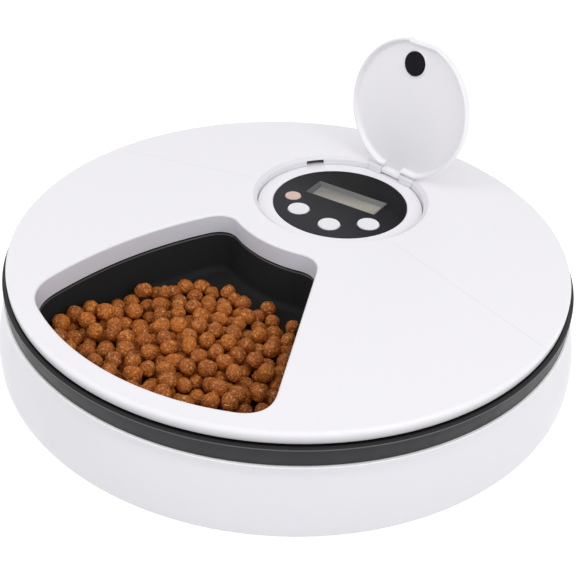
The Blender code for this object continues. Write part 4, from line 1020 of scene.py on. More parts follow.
def spread(count, bearing, distance, middle=axisMiddle):
    # places an equal angle apart round the middle
    return [middle + polar(bearing + 360 / count * k, distance) for k in range(count)]


def screwHole(head, hole, low, shoulder, high):
    # a wide hole for the head up to the shoulder, then a narrow one
    return [wall(head, (low, shoulder)), flatFill([head, hole], shoulder), wall(hole, (shoulder, high))]


def baseWallParts(s):
    # the outer face is a smooth curve through shares of the flare; bead, outer face and inner face are turned
    under, top, wallTop = height["underside"], height["baseTop"], s["topRadius"]
    flare, inner = s["flareRadius"] - wallTop, wallTop - s["wall"]
    shares = zip(s["heightShares"], s["flareShares"])
    wallPoints = [(wallTop + flare * f, under + (top - under) * h) for h, f in shares]
    foot, drip = s["flareRadius"] - s["round"], s["rimBottom"]
    rimInner, b = foot - s["rimWidth"], s["beadRound"]
    edge = arcOf((foot, drip + s["round"]), s["round"], *s["roundTurn"], steps=8)
    outer = smoothCurve([edge[-1], *wallPoints, (s["beadRadius"], top - b)], steps=8)
    crown = arcOf((s["beadRadius"] - b, top - b), b, *s["beadTurn"], steps=5)
    land = (wallTop + s["beadLand"], top)
    outside = [(rimInner, under), (rimInner, drip + chamfer), (rimInner + chamfer, drip), *edge, *outer[1:]]
    shelfTop, shelfUnder = height["shelfTop"], height["shelfUnder"]
    rim = [land, (inner + chamfer, top), (inner, top - chamfer), (inner, shelfTop)]
    shelf = [(s["shelfRadius"], shelfTop), (s["shelfRadius"], shelfUnder), (inner, shelfUnder)]
    inside = [(r - s["wall"], z) for r, z in wallPoints[::-1] if z < shelfUnder]
    floorEdge = s["flareRadius"] - s["wall"] - s["rimWidth"]
    low = [(floorEdge + s["floorLap"], height["floorTop"]), (floorEdge, height["floorTop"])]
    profiles = [[outer[-1], *crown, land], outside, [*rim, *shelf, *inside, *low]]
    return [revolve(profile) for profile in profiles], circle(rimInner), circle(floorEdge)


def makeBase(s):
    # walls, then the floor's two faces with the battery bay, the door's opening, and feet and screw recesses
    parts, underLoop, floorLoop = baseWallParts(s)
    under, floorTop = height["underside"], height["floorTop"]
    inner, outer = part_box("contact_plate_inner"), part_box("contact_plate_outer")
    width, length = 2 * (inner[1].x + gap), outer[1].y - inner[0].y + 2 * gap
    bayMiddle, bayWall = np.array([0.0, s["bayDistance"]]), s["bayWall"]
    bay = rectangle(width, length, bayMiddle)
    bayOuter = rectangle(width + 2 * bayWall, length + 2 * bayWall, bayMiddle)
    doorLow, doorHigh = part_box("battery_door")
    left, right, near = doorLow.x - gap, doorHigh.x + gap, doorLow.y - gap
    far = doorHigh.y + s["doorTravel"] + gap
    slot = np.array([[left, near], [right, near], [right, far], [left, far]])
    footPlaces = spread(s["feet"], s["footBearing"], s["footCircle"])
    feet = [circle(s["footRadius"], s["footSteps"], place) for place in footPlaces]
    places = spread(s["screws"], s["screwBearing"], s["screwCircle"])
    radii = (s["headRadius"], s["holeRadius"])
    heads, holes = [[circle(radius, s["screwSteps"], place) for place in places] for radius in radii]
    parts.append(flatFill([underLoop, slot, *feet, *heads], under))
    parts.append(flatFill([floorLoop, bayOuter, *holes], floorTop))
    parts += [wall(slot, (under, s["doorRoof"])), flatFill([slot, bay], s["doorRoof"])]
    parts += recess(bay, s["doorRoof"], s["bayRoof"]) + recess(bayOuter, floorTop, s["bayRoof"] + bayWall)
    for outline in feet:
        parts += recess(outline, under, under + s["footDepth"])
    for head, hole in zip(heads, holes):
        parts += screwHole(head, hole, under, s["headTop"], floorTop)
    # the bead gets the painted highlight
    choices, marks = [materials["base"], materials["bead"]], [1] + [0] * (len(parts) - 1)
    makePiece("baseShell", parts, choices, "base", ["base_shell"], marks=marks)


makeBase(baseShape)
print("base and band made")


# Tray with its bowls

trayShape = {
    "radius": 0.1574,
    "edgeRound": 0.0007,
    "wall": 0.0018,
    "bowls": 2,
    "draft": 0.0032,
    "round": 0.0050,
    "lip": 0.0009,
    "lipLand": 0.0003,
    "underLand": 0.0004,
    "hubRadius": 0.0126,
    "hubBottom": 0.0325,
    "hubSteps": 72,
    "bore": 0.0106,
    "shaft": 0.0023,
    "shaftFlat": 0.0005,
    "shaftSteps": 24,
}


def bowlProfile(s, thickness=0.0):
    # (offset, height) down the bowl: a quarter round that starts a draft in from the mouth
    start, floor = thickness - s["draft"], height["bowlFloor"] - thickness
    return roundOver(s["round"], steps=10)[:, ::-1] * [-1, 1] + [start, floor]


def makeTray(s):
    # the window's outline, turned once for each bowl, carried over the lip and down the bowl's two faces
    top, under, r, b = height["trayTop"], height["trayPlateUnder"], s["radius"], s["edgeRound"]
    flange, inner = height["trayFlange"], s["radius"] - s["wall"]
    profile = [(r - b - strip, top), *arcOf((r - b, top - b), b, 90, 0, steps=5)]
    profile += [(r, flange), (inner, flange), (inner, under), (inner - strip, under)]
    parts, marks = [revolve(profile)], [0]
    lipEdge, wallEdge = s["lip"] + s["lipLand"], s["wall"] + s["underLand"]
    mouth = [(lipEdge, top), *(roundOver(s["lip"], steps=6) * [1, -1] + [0, top])]
    inside = [mouth[-1], *bowlProfile(s)]
    outside = [(wallEdge, under), (s["wall"], under), *bowlProfile(s, s["wall"])]
    bowls = [windowOutline @ planTurn(360 / s["bowls"] * k) for k in range(s["bowls"])]
    for outline in bowls:
        parts += [carried(outline, rows) for rows in (mouth, inside, outside)]
        parts += [flatFill([offsetOutline(outline, rows[-1][0])], rows[-1][1]) for rows in (inside, outside)]
        # the mouth's rows take the lip's painted highlight
        marks += [1, 0, 0, 0, 0]
    socket = circle(s["shaft"], s["shaftSteps"])
    socket[:, 0] = np.minimum(socket[:, 0], s["shaft"] - s["shaftFlat"])
    bore, hub = circle(s["bore"], s["hubSteps"]), circle(s["hubRadius"], s["hubSteps"])
    topHoles, underHoles = [[offsetOutline(bowl, d) for bowl in bowls] for d in (lipEdge, wallEdge)]
    parts.append(flatFill([circle(r - b - strip), socket, *topHoles], top))
    parts.append(flatFill([circle(inner - strip), hub, *underHoles], under))
    hubLow = s["hubBottom"]
    parts += [wall(socket, (top, under)), flatFill([bore, socket], under), wall(bore, (under, hubLow))]
    parts += [flatFill([hub, bore], hubLow), wall(hub, (hubLow, under))]
    marks += [0] * (len(parts) - len(marks))
    choices = [materials["tray"], materials["trayLip"]]
    makePiece("bowlTray", parts, choices, "tray", ["food_tray"], marks=marks)


makeTray(trayShape)
print("tray made")


# Dry food: balls strewn at random in the heap and pushed apart in a few rounds, by the CAD's rule

kibbleShape = {
    "innerHeight": 0.0100,
    "outerHeight": 0.0240,
    "bare": 0.0210,
    "points": 108,
    "hub": trayShape["hubRadius"],
    "draft": trayShape["draft"],
    "radius": 0.0050,
    "count": 205,
    "tries": 1600,
    "rounds": 60,
    "push": 0.35,
    "drop": 0.0002,
    "closest": 0.00001,
    "seed": 7,
    "added": [
        (0.0038, -0.0480, 0.0262),
        (0.0012, -0.0624, 0.0290),
        (-0.0112, -0.0295, 0.0250),
        (-0.0886, -0.0671, 0.0250),
        (-0.0565, -0.0614, 0.0250),
        (-0.0361, -0.1147, 0.0300),
        (-0.0266, -0.1148, 0.0300),
    ],
    "sizeRange": (0.95, 1.06),
    "squatRange": (-0.14, 0.05),
    "lump": 0.050,
    "lumpScales": (2.0, 3.0, 4.5),
    "lumpTurn": 6,
    "quads": 3,
    "sharp": 180.0,
}


def evened(outline, count):
    # the outline as points an equal way apart
    closed = np.vstack([outline, outline[:1]])
    walked = np.concatenate([[0], np.cumsum(np.linalg.norm(np.diff(closed, axis=0), axis=1))])
    marks = np.arange(count) * walked[-1] / count
    return np.stack([np.interp(marks, walked, closed[:, k]) for k in (0, 1)], -1)


def heapEdge(s, inset):
    # the heap's middle, and its edge: the bowl's mouth drawn in by an inset and by the bare strip behind
    mouth = evened(windowOutline, s["points"])
    along = np.roll(mouth, -1, 0) - np.roll(mouth, 1, 0)
    outward = np.column_stack((-along[:, 1], along[:, 0])) / np.linalg.norm(along, axis=1)[:, None]
    rim = windowShape["outerRadius"]
    share = (rim - np.linalg.norm(mouth, axis=1)) / (rim - s["hub"])
    bare = s["bare"] * share * np.maximum(outward[:, 1], 0)
    middle = mouth.mean(0)
    spokes = mouth - middle
    reach = (spokes * outward).sum(1)
    return middle, middle + spokes * (1 - (inset + bare) / reach)[:, None]


def heapHeight(s, places, middle):
    # it rises from the hub to the rim
    share = places @ middle / (np.linalg.norm(middle) * windowShape["outerRadius"])
    return s["innerHeight"] + (s["outerHeight"] - s["innerHeight"]) * np.clip(share, 0, 1)


def settleBalls(s):
    # balls strewn inside the heap; each round pushes close pairs apart and holds them under the heap's top
    rng = np.random.default_rng(s["seed"])
    tries, r = s["tries"], s["radius"]
    middle = heapEdge(s, 0)[0]
    spokes = heapEdge(s, s["draft"] + r)[1] - middle
    turns = np.arctan2(spokes[:, 1], spokes[:, 0])
    lengths = np.linalg.norm(spokes, axis=1)
    picks = rng.integers(0, s["points"], tries)
    plan = middle + spokes[picks] * np.sqrt(rng.random(tries))[:, None]
    rise = r + rng.random(tries) * (s["outerHeight"] - 2 * r)
    kept = np.flatnonzero(rise + r <= heapHeight(s, plan, middle))[: s["count"]]
    places = np.column_stack((plan, rise))[kept]
    others = 1 - np.eye(len(places))
    for _ in range(s["rounds"]):
        apart = places[:, None] - places
        distance = np.linalg.norm(apart, axis=-1) + np.eye(len(places))
        push = np.maximum(2 * r - distance, 0) * others / distance
        places = places + (apart * push[..., None]).sum(1) * s["push"]
        spokes = places[:, :2] - middle
        room = np.interp(np.arctan2(spokes[:, 1], spokes[:, 0]), turns, lengths, period=math.tau)
        reach = np.maximum(np.linalg.norm(spokes, axis=1), s["closest"])
        places[:, :2] = middle + spokes * np.minimum(1, room / reach)[:, None]
        top = np.maximum(heapHeight(s, places[:, :2], middle) - r, r)
        places[:, 2] = np.clip(places[:, 2] - s["drop"], r, top)
    return places + [0, 0, height["bowlFloor"] + gap]


def ballGrid(steps):
    # a cube whose sides have steps by steps quads, blown up to a sphere
    t = np.tan(np.linspace(-math.pi / 4, math.pi / 4, steps + 1))
    u, v = np.meshgrid(t, t, indexing="ij")
    one = np.ones_like(u)
    sides = [(one, u, v), (-one, v, u), (v, one, u), (u, -one, v), (u, v, one), (v, u, -one)]
    points = np.concatenate([np.stack(side, -1).reshape(-1, 3) for side in sides])
    quads = gridFaces(steps + 1, steps + 1, closedColumns=False)
    faces = np.concatenate([quads + k * (steps + 1) ** 2 for k in range(len(sides))])
    keys, index = np.unique(np.round(points, 6), axis=0, return_inverse=True)
    return keys / np.linalg.norm(keys, axis=1, keepdims=True), index.reshape(-1)[faces]


def makeKibble(s):
    # each ball is turned at random, raised and lowered by three sine waves, flattened and set in its place
    place = np.vstack([settleBalls(s), s["added"]])
    ball, faces = ballGrid(s["quads"])
    n = len(place)
    rng = np.random.default_rng(s["seed"] + 1)
    radius = s["radius"] * rng.uniform(*s["sizeRange"], n)
    spin = np.linalg.qr(rng.normal(size=(n, 3, 3)))[0]
    spin[:, :, 0] *= np.sign(np.linalg.det(spin))[:, None]
    points = np.einsum("nij,pj->npi", spin, ball)
    lumps = 1
    for scale in s["lumpScales"]:
        wave = np.einsum("npj,nj->np", points, rng.normal(size=(n, 3)) * scale)
        lumps = lumps + s["lump"] * np.sin(wave + rng.uniform(0, s["lumpTurn"], (n, 1)))
    squat = 1 + rng.uniform(*s["squatRange"], (n, 3))
    points = place[:, None] + points * squat[:, None] * (lumps * radius[:, None])[..., None]
    allFaces = (faces[None] + (np.arange(n) * len(ball))[:, None, None]).reshape(-1, 4)
    parts = [(points.reshape(-1, 3), [allFaces])]
    piece = makePiece("kibble", parts, [materials["kibble"]], "tray", ["food_portion"], s["sharp"])
    shades = np.repeat(rng.uniform(0, 1, n), len(ball))[: len(piece.data.vertices)]
    piece.data.attributes.new("shade", "FLOAT", "POINT").data.foreach_set("value", shades.astype(np.float32))


makeKibble(kibbleShape)
print("kibble settled")


# Control unit

housingShape = {
    "ringOuter": 0.0530,
    "flange": 0.0615,
    "flangeChamfer": 0.0005,
    "flangeLand": 0.0004,
    "cavity": 0.0412,
    "seat": 0.0435,
    "seatRound": 0.0003,
    "seatLand": 0.0004,
    "floor": 0.0014,
    "round": 0.0007,
    "crownLand": 0.0006,
    "screws": 4,
    "screwCircle": 0.0580,
    "screwSteps": 24,
    "headRadius": 0.0027,
    "holeRadius": 0.0014,
    "headDepth": 0.0016,
    "steps": 192,
}


def makeHousing(s):
    # the flange's edge, and the ring with its cavity, turned about the well's middle, with four screw holes
    top, under, flangeTop = height["ringTop"], height["housingBottom"], height["housingFlange"]
    r, seat, land, floor = s["round"], s["seat"], s["flangeLand"], under + s["floor"]
    outer, flange, cut = s["ringOuter"], s["flange"], s["flangeChamfer"]
    rim = [(flange - cut, under), (flange, under + cut)]
    rim += [(flange, flangeTop - land), (flange - land, flangeTop)]
    upper = [
        (outer + land, flangeTop),
        (outer, flangeTop),
        *arcOf((outer - r, top - r), r, 0, 90, steps=7),
        (outer - r - s["crownLand"], top),
        (seat + s["seatRound"] + s["seatLand"], top),
        *arcOf((seat + s["seatRound"], top - s["seatRound"]), s["seatRound"], 90, 180, steps=4),
        (seat, height["panelSeat"]),
        (s["cavity"], height["panelSeat"]),
        (s["cavity"], floor),
        (s["cavity"] - strip, floor),
    ]
    places = spread(s["screws"], controlBearing, s["screwCircle"], controlMiddle)
    radii = (s["headRadius"], s["holeRadius"])
    heads, holes = [[circle(radius, s["screwSteps"], place) for place in places] for radius in radii]
    parts = [revolve(profile, s["steps"], controlMiddle) for profile in (rim, upper)]
    radii = (flange - land, outer + land, flange - cut, s["cavity"] - strip)
    loops = [circle(radius, s["steps"], controlMiddle) for radius in radii]
    flangeLoop, ringLoop, underLoop, floorLoop = loops
    parts.append(flatFill([flangeLoop, ringLoop, *holes], flangeTop))
    parts += [flatFill([underLoop, *heads], under), flatFill([floorLoop], floor)]
    for head, hole in zip(heads, holes):
        parts += screwHole(head, hole, under, under + s["headDepth"], flangeTop)
    makePiece("controlRing", parts, [materials["ring"]], "cover", ["control_housing"])


makeHousing(housingShape)

panelShape = {
    "radius": 0.0432,
    "edge": 0.0003,
    "land": 0.0003,
    "steps": 192,
    "buttons": {
        "left": (-159.2, 0.02845, 0.0069),
        "middle": (-105.2, 0.0286, 0.0069),
        "right": (-56.4, 0.0307, 0.0069),
        "set": (168.5, 0.0311, 0.0052),
    },
    "buttonSteps": 64,
    "buttonGap": 0.0005,
    "proud": 0.0005,
    "dome": 0.0005,
    "dish": 0.00025,
    "dishShares": (0.86, 0.6, 0.3, 0.0004),
    "ledge": 0.0010,
    "ledgeBottom": 0.0499,
    "display": (0.0510, 0.0180, 0.0083),  # width, depth and distance from the middle
    "displayRound": 0.0008,
    "slope": 0.0022,
    "displayFloor": 0.0487,
    "lipGap": 0.00006,
    "lipWidth": 0.0003,
    "frame": 0.0020,
    "frameRound": 0.0010,
    "frameSharp": 20.0,
    "floorRound": 0.0004,
    "lensRound": 0.0003,
}


def displayOutline(s, margin, radius):
    # the display's opening, larger or smaller by the margin
    width, depth, distance = s["display"]
    middle = controlMiddle + polar(windowArcBearing, distance)
    return roundedRectangle(width + 2 * margin, depth + 2 * margin, radius, middle, windowArcBearing - 90)


def makePanel(s):
    # a disc with a rounded edge, and holes for the buttons and the display
    top, under, r, e, steps = height["ringTop"], height["panelBottom"], s["radius"], s["edge"], s["steps"]
    crown = arcOf((r - e, top - e), e, 90, 0, steps=4)
    profile = [(r - e - s["land"], top), *crown, (r, under), (r - s["land"], under)]
    holes = []
    for bearing, distance, radius in s["buttons"].values():
        place = controlMiddle + polar(bearing, distance)
        holes.append(circle(radius + s["buttonGap"], s["buttonSteps"], place))
    holes.append(displayOutline(s, 0.0, s["displayRound"]))
    parts = [revolve(profile, steps, controlMiddle)]
    parts.append(flatFill([circle(r - e - s["land"], steps, controlMiddle), *holes], top))
    parts.append(flatFill([circle(r - s["land"], steps, controlMiddle), *holes], under))
    parts += [wall(hole, (top, under)) for hole in holes]
    makePiece("controlPanel", parts, [materials["panel"]], "cover", ["fascia_panel"])


def makeButtons(s):
    # a ledge under the panel, a rounded edge and a slightly hollow top, turned about the button's own middle
    seat, top, low, dome = height["panelSeat"], height["ringTop"] + s["proud"], s["ledgeBottom"], s["dome"]
    for name, (bearing, distance, radius) in s["buttons"].items():
        dish = [(radius * share, top - s["dish"] * (1 - share**2)) for share in s["dishShares"]]
        wide = radius + s["ledge"]
        edge = arcOf((radius - dome, top - dome), dome, 0, 90, steps=6)
        profile = [(dish[-1][0], low), (wide, low), (wide, seat), (radius, seat), *edge, *dish]
        place = controlMiddle + polar(bearing, distance)
        parts = [revolve(profile, s["buttonSteps"], place, closedRows=True)]
        finish, slot = ("setButton", "set_button_plastic") if name == "set" else ("button", "button_plastic")
        makePiece(name + "Button", parts, [materials[finish]], name + "_key", ["button_" + name])


def makeDisplay(s):
    # a frame that slopes from a narrow lip down to the display's face, and a clear plate over the face
    seat, floor, bottom = height["panelSeat"], s["displayFloor"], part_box("lcd_module")[0].z
    top, lipInset = height["ringTop"] - s["lipGap"], s["lipGap"] + s["lipWidth"]
    outer = displayOutline(s, s["frame"], s["frameRound"])
    inner = displayOutline(s, -s["slope"], s["floorRound"])
    lip, edge = [displayOutline(s, -inset, s["displayRound"]) for inset in (s["lipGap"], lipInset)]
    rows = [atHeight(lip, seat), atHeight(lip, top), atHeight(edge, top), atHeight(inner, floor)]
    parts = [gridPart(np.stack(rows)), wall(outer, (bottom, seat)), flatFill([outer, lip], seat)]
    parts += [flatFill([outer], bottom), flatFill([inner], floor)]
    sharp, marks = s["frameSharp"], [0, 0, 0, 0, 1]
    choices = [materials["displayFrame"], materials["displayFace"]]
    makePiece("displayModule", parts, choices, "cover", ["lcd_module"], sharp, marks)
    low, high = [corner.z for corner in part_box("lcd_window")]
    lens = displayOutline(s, -s["slope"] - gap, s["lensRound"])
    parts = [wall(lens, (low, high)), flatFill([lens], low), flatFill([lens], high)]
    makePiece("displayLens", parts, [materials["displayGlass"]], "cover", ["lcd_window"])


makePanel(panelShape)
makeButtons(panelShape)
makeDisplay(panelShape)
print("control unit made")


# Flip lid: made closed in the hinge's frame, then turned open

lidShape = {
    "radius": 0.0455,
    "reach": 0.0464,
    "offset": -0.0038,
    "plate": 0.0018,
    "wall": 0.0016,
    "edgeRound": 0.0012,
    "innerRound": 0.0022,
    "rimChamfer": 0.0004,
    "land": 0.0006,
    "columns": 288,
    "stepHalf": 0.03,  # degrees either side of a step in the edge, and the room round it
    "stepRoom": 0.3,
    "hingeDrop": 0.0026,
    "earHalf": 0.0191,
    "earDepth": 0.0035,
    "tongueHalf": 0.0077,
    "tongueLength": 0.0040,
    "tongueSink": 0.00003,
    "tongueEnds": [(0.0, 0.0003), (0.0001, 0.0001), (0.0003, 0.0)],
    "barrel": 0.0022,
    "barrelTurn": (185, 345),
    "shoulder": (-0.0001, 0.0004),
    "shoulderTurn": (96, 180),
    "barrelFoot": (0.0003, 0.0006),
    "tabWidth": 0.0200,
    "tabOffset": -0.0025,
    "tabFlat": 0.0018,
    "tabReach": 0.0004,
    "tabThick": 0.0018,
    "tabRound": 0.0004,
    "tabEnds": [(0.0, 0.0003), (0.0004, 0.0)],
}


def lidColumns(s):
    # bearings round the lid, with close pairs where its edge steps in for the tab and for the hinge's ears
    turn = np.linspace(0, 360, s["columns"], endpoint=False)
    tongue, tab, r = s["tongueHalf"], s["tabWidth"] / 2, s["radius"]
    near = [360 - math.degrees(math.acos((x - s["offset"]) / r)) for x in (-tongue, tongue)]
    far = [math.degrees(math.acos((s["tabOffset"] + x) / r)) for x in (-tab, tab)]
    steps = np.array([*near, *far])
    kept = turn[np.abs(turn[:, None] - steps).min(1) > s["stepRoom"]]
    return np.sort(np.concatenate([kept, steps - s["stepHalf"], steps + s["stepHalf"]]))


def lidRows(s, profile):
    # (radius, height) rows carried round the lid's middle, cut straight at the tab and at the ears
    turn = np.radians(lidColumns(s))
    inset = s["radius"] - profile[:, :1]
    x = s["offset"] + profile[:, :1] * np.cos(turn)
    y = profile[:, :1] * np.sin(turn)
    z = np.repeat(profile[:, 1:], len(turn), 1)
    edgeX = s["radius"] * np.cos(turn)
    away, near = np.abs(s["offset"] + edgeX), np.sin(turn) < 0
    atTab = (np.abs(edgeX - s["tabOffset"]) < s["tabWidth"] / 2) & (np.sin(turn) > 0)
    atEar = (away > s["tongueHalf"]) & (away < s["earHalf"]) & near
    atTongue = (away < s["tongueHalf"]) & near
    y = np.where(atTab, np.minimum(y, s["radius"] - s["tabFlat"] - inset), y) + s["reach"]
    y = np.where(atEar, np.maximum(y, s["earDepth"] + inset), y)
    z = np.where(atTongue, np.maximum(z, s["hingeDrop"] - s["plate"]), z)
    return np.stack([x, y, z], -1)


def openTurn():
    # from the closed lid in the hinge's frame to the open lid
    return hingeFrame() @ Matrix.Rotation(math.radians(lidOpenAngle), 4, "X")


def tonguePart(s):
    # a short plate that ends in the barrel round the pin
    b, half, sink, length = s["barrel"], s["tongueHalf"], s["tongueSink"], s["tongueLength"]
    under, face = s["hingeDrop"] - sink, s["hingeDrop"] - s["plate"]
    footDrop, footReach = s["barrelFoot"]
    shoulder = arcOf(s["shoulder"], b, *s["shoulderTurn"], steps=8)
    barrel = arcOf((0.0, 0.0), b, *s["barrelTurn"], steps=14)
    plate = [(b, face - footDrop), (b + footReach, face + sink), (length, face + sink)]
    outline = np.vstack([[(length, under)], shoulder, barrel, plate])
    return extruded(outline[::-1], -half, half, s["tongueEnds"])


def tabPart(s):
    # a rounded ledge opposite the hinge, flush with the lid's back
    depth, thick = s["wall"] + s["tabReach"], s["tabThick"]
    outline = roundedRectangle(thick, depth, s["tabRound"], steps=5)
    middle = s["reach"] + s["radius"] - s["tabFlat"] + (s["tabReach"] - s["wall"]) / 2
    rise = s["hingeDrop"] - s["tongueSink"] - thick / 2
    outline = np.column_stack([outline[:, 1] + middle, outline[:, 0] + rise])
    start = s["offset"] + s["tabOffset"] - s["tabWidth"] / 2
    return extruded(outline, start, start + s["tabWidth"], s["tabEnds"])


def makeFlipLid(s):
    # the lid's section carried round its edge, closed by its two faces, with its tongue and its thumb tab
    drop, r, cut, inner = s["hingeDrop"], s["radius"], s["rimChamfer"], s["radius"] - s["wall"]
    rim, face = height["ringTop"] + gap - height["hinge"], drop - s["plate"]
    e, f = s["edgeRound"], s["innerRound"]
    profile = [
        (r - e - s["land"], drop),
        *arcOf((r - e, drop - e), e, 90, 0, steps=10),
        (r, rim + cut),
        (r - cut, rim),
        (inner + cut, rim),
        (inner, rim + cut),
        *arcOf((inner - f, face - f), f, 0, 90, steps=9),
        (inner - f - s["land"], face),
    ]
    rows = lidRows(s, np.array(profile))
    parts = [gridPart(rows), flatFill([rows[0, :, :2]], drop), flatFill([rows[-1, :, :2]], face)]
    parts = [placed(part, openTurn()) for part in (*parts, tonguePart(s), tabPart(s))]
    makePiece("flipLid", parts, [materials["lid"]], "lid", ["flip_lid"])


padShape = {
    "radius": 0.0076,
    "thick": 0.0012,
    "offset": 0.0018,
    "distance": 0.0297,
    "round": 0.0003,
    "innerShare": 0.8,
    "pinhole": 0.0002,
    "steps": 64,
    "collarNear": 0.0080,
    "collarFar": 0.0089,
    "collarProud": 0.0009,
    "collarBreak": 0.0001,
    "collarRound": 0.0002,
}


def makePad(s, lid):
    # a disc with a rounded edge, and a low ring of the lid's plastic round it
    face = lid["hingeDrop"] - lid["plate"]
    high, crown = face - gap, face - s["collarProud"]
    low = high - s["thick"]
    r, e, near, far = s["radius"], s["round"], s["collarNear"], s["collarFar"]
    edge = arcOf((r - e, low + e), e, 0, -90, steps=5)
    pad = [(s["pinhole"], high), (r, high), *edge, (r * s["innerShare"], low), (s["pinhole"], low)]
    b, c = s["collarBreak"], s["collarRound"]
    collar = [(near, crown + b), (near + b, crown), (far - c, crown), (far, crown + c)]
    collar += [(far, face + b), (near, face + b)]
    middle = np.array([lid["offset"] + s["offset"], lid["reach"] + s["distance"]])
    pad, collar = [revolve(profile, s["steps"], middle, closedRows=True) for profile in (pad, collar)]
    makePiece("lidPad", [placed(pad, openTurn())], [materials["pad"]], "lid", ["lid_pad"])
    makePiece("padCollar", [placed(collar, openTurn())], [materials["lid"]], "lid", ())


makeFlipLid(lidShape)
makePad(padShape, lidShape)
print("flip lid made")


# Small pieces: smooth copies of their CAD nodes

smallPieces = {
    "base": {
        "drive_post": ("base", "white_plastic"),
        "gear_motor": ("steel", "steel"),
        "motor_retainer": ("base", "white_plastic"),
        "glide_ring": ("glide", "glide_plastic"),
        "contact_plate_inner": ("steel", "steel"),
        "contact_plate_outer": ("steel", "steel"),
    },
    "tray": {"drive_shaft": ("steel", "steel")},
    "cover": {"hinge_pin": ("steel", "steel"), "control_board": ("board", "circuit_board")},
    "door": {"battery_door": ("base", "white_plastic")},
}
for k in range(1, 5):
    smallPieces["base"][f"battery_cell_{k}"] = ("cell", "cell_wrap")
    smallPieces["base"][f"foot_{k}"] = ("rubber", "rubber")
    smallPieces["cover"][f"housing_screw_{k}"] = ("steel", "steel")
for k in range(1, 4):
    smallPieces["base"][f"post_screw_{k}"] = ("steel", "steel")
for name in panelShape["buttons"]:
    smallPieces["cover"]["key_switch_" + name] = ("switch", "switch_metal")

for body, wanted in smallPieces.items():
    for node, (finish, slot) in wanted.items():
        words = node.split("_")
        name = words[0] + "".join(word.capitalize() for word in words[1:])
        smoothNode(name, node, materials[finish], body)
print("small pieces dressed")


# Floor, light and camera

stageShape = {"size": 8.0, "colour": (0.80, 0.80, 0.81), "roughness": 0.9, "specular": 0.1, "glow": 0.60}


def makeFloor(s):
    # a wide flat square, with a glow that only the camera and reflections see
    mesh = bpy.data.meshes.new("studioFloor")
    corners = rectangle(s["size"], s["size"], axisMiddle)
    mesh.from_pydata(atHeight(corners, 0.0), [], [(0, 1, 2, 3)])
    floor = bpy.data.objects.new("studioFloor", mesh)
    bpy.context.scene.collection.objects.link(floor)
    material = bpy.data.materials.new("studioFloor")
    material.use_nodes = True
    tree = material.node_tree
    shader = tree.nodes["Principled BSDF"]
    shader.inputs["Base Color"].default_value = (*s["colour"], 1.0)
    shader.inputs["Roughness"].default_value = s["roughness"]
    shader.inputs["Specular IOR Level"].default_value = s["specular"]
    glow = tree.nodes.new("ShaderNodeEmission")
    glow.inputs["Color"].default_value = (1.0, 1.0, 1.0, 1.0)
    tree.links.new(math2(tree, "MULTIPLY", seenRays(tree), s["glow"]), glow.inputs["Strength"])
    both = tree.nodes.new("ShaderNodeAddShader")
    tree.links.new(shader.outputs[0], both.inputs[0])
    tree.links.new(glow.outputs[0], both.inputs[1])
    tree.links.new(both.outputs[0], tree.nodes["Material Output"].inputs["Surface"])
    mesh.materials.append(material)


def seenRays(tree):
    # 1 for rays from the camera, and for those that metal and glass send on
    path = tree.nodes.new("ShaderNodeLightPath")
    first = math2(tree, "MAXIMUM", path.outputs["Is Camera Ray"], path.outputs["Is Glossy Ray"])
    return math2(tree, "MAXIMUM", first, path.outputs["Is Transmission Ray"])


worldShape = {"ambient": 0.635}


def makeWorld(s):
    # white where it is seen, and a weaker light elsewhere
    world = bpy.data.worlds.new("studio")
    bpy.context.scene.world = world
    world.use_nodes = True
    tree = world.node_tree
    back = tree.nodes["Background"]
    back.inputs["Color"].default_value = (1.0, 1.0, 1.0, 1.0)
    strength = ranged(tree, seenRays(tree), s["ambient"], 1.0, 0.0, 1.0)
    tree.links.new(strength, back.inputs["Strength"])


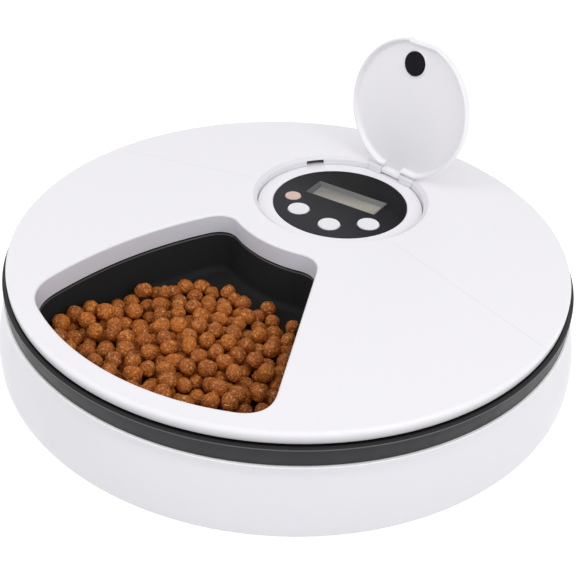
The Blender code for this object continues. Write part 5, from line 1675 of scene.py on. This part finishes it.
# Each softbox has a bearing and a rise in degrees, and a power
lamps = {
    "leftSoftbox": (-165, 40, 3.3),
    "rightSoftbox": (-45, 38, 5.0),
    "frontSoftbox": (-90, 40, 1.7),
    "topSoftbox": (-90, 86, 1.5),
}
lampShape = {"distance": 1.5, "size": 0.8, "aim": (0.0, 0.0, 0.05)}


def makeLamps(wanted, s):
    # round lamps at one distance from the middle, each turned towards the aim
    for name, (bearing, rise, power) in wanted.items():
        data = bpy.data.lights.new(name, "AREA")
        data.shape = "DISK"
        data.size = s["size"]
        data.energy = power
        lamp = bpy.data.objects.new(name, data)
        up = math.radians(rise)
        plan = polar(bearing, s["distance"] * math.cos(up))
        place = Vector((*plan.tolist(), s["distance"] * math.sin(up)))
        lamp.location = place
        lamp.rotation_euler = (Vector(s["aim"]) - place).to_track_quat("-Z", "Y").to_euler()
        bpy.context.scene.collection.objects.link(lamp)


cameraShape = {
    "place": (0.0, -0.4275, 0.3253),
    "pitch": 35.563,
    "roll": 2.489,
    "lens": 53.125,
    "sensor": 36.0,
    "clip": (0.01, 30.0),
}


def makeCamera(s):
    # looks along Y, pitched down, then rolled about its line of sight
    data = bpy.data.cameras.new("photoCamera")
    data.lens = s["lens"]
    data.sensor_width = s["sensor"]
    data.clip_start, data.clip_end = s["clip"]
    camera = bpy.data.objects.new("photoCamera", data)
    pitch, roll = math.radians(s["pitch"]), math.radians(s["roll"])
    forward = Vector((0.0, math.cos(pitch), -math.sin(pitch)))
    right = Vector((1.0, 0.0, 0.0))
    up = right.cross(forward)
    turnedRight = right * math.cos(roll) + up * math.sin(roll)
    turnedUp = up * math.cos(roll) - right * math.sin(roll)
    rows = Matrix((turnedRight, turnedUp, -forward)).transposed()
    camera.matrix_world = Matrix.Translation(s["place"]) @ rows.to_4x4()
    bpy.context.scene.collection.objects.link(camera)
    bpy.context.scene.camera = camera


makeFloor(stageShape)
makeWorld(worldShape)
makeLamps(lamps, lampShape)
makeCamera(cameraShape)
bpy.context.scene.view_settings.view_transform = "Standard"
print("stage, lamps and camera set")
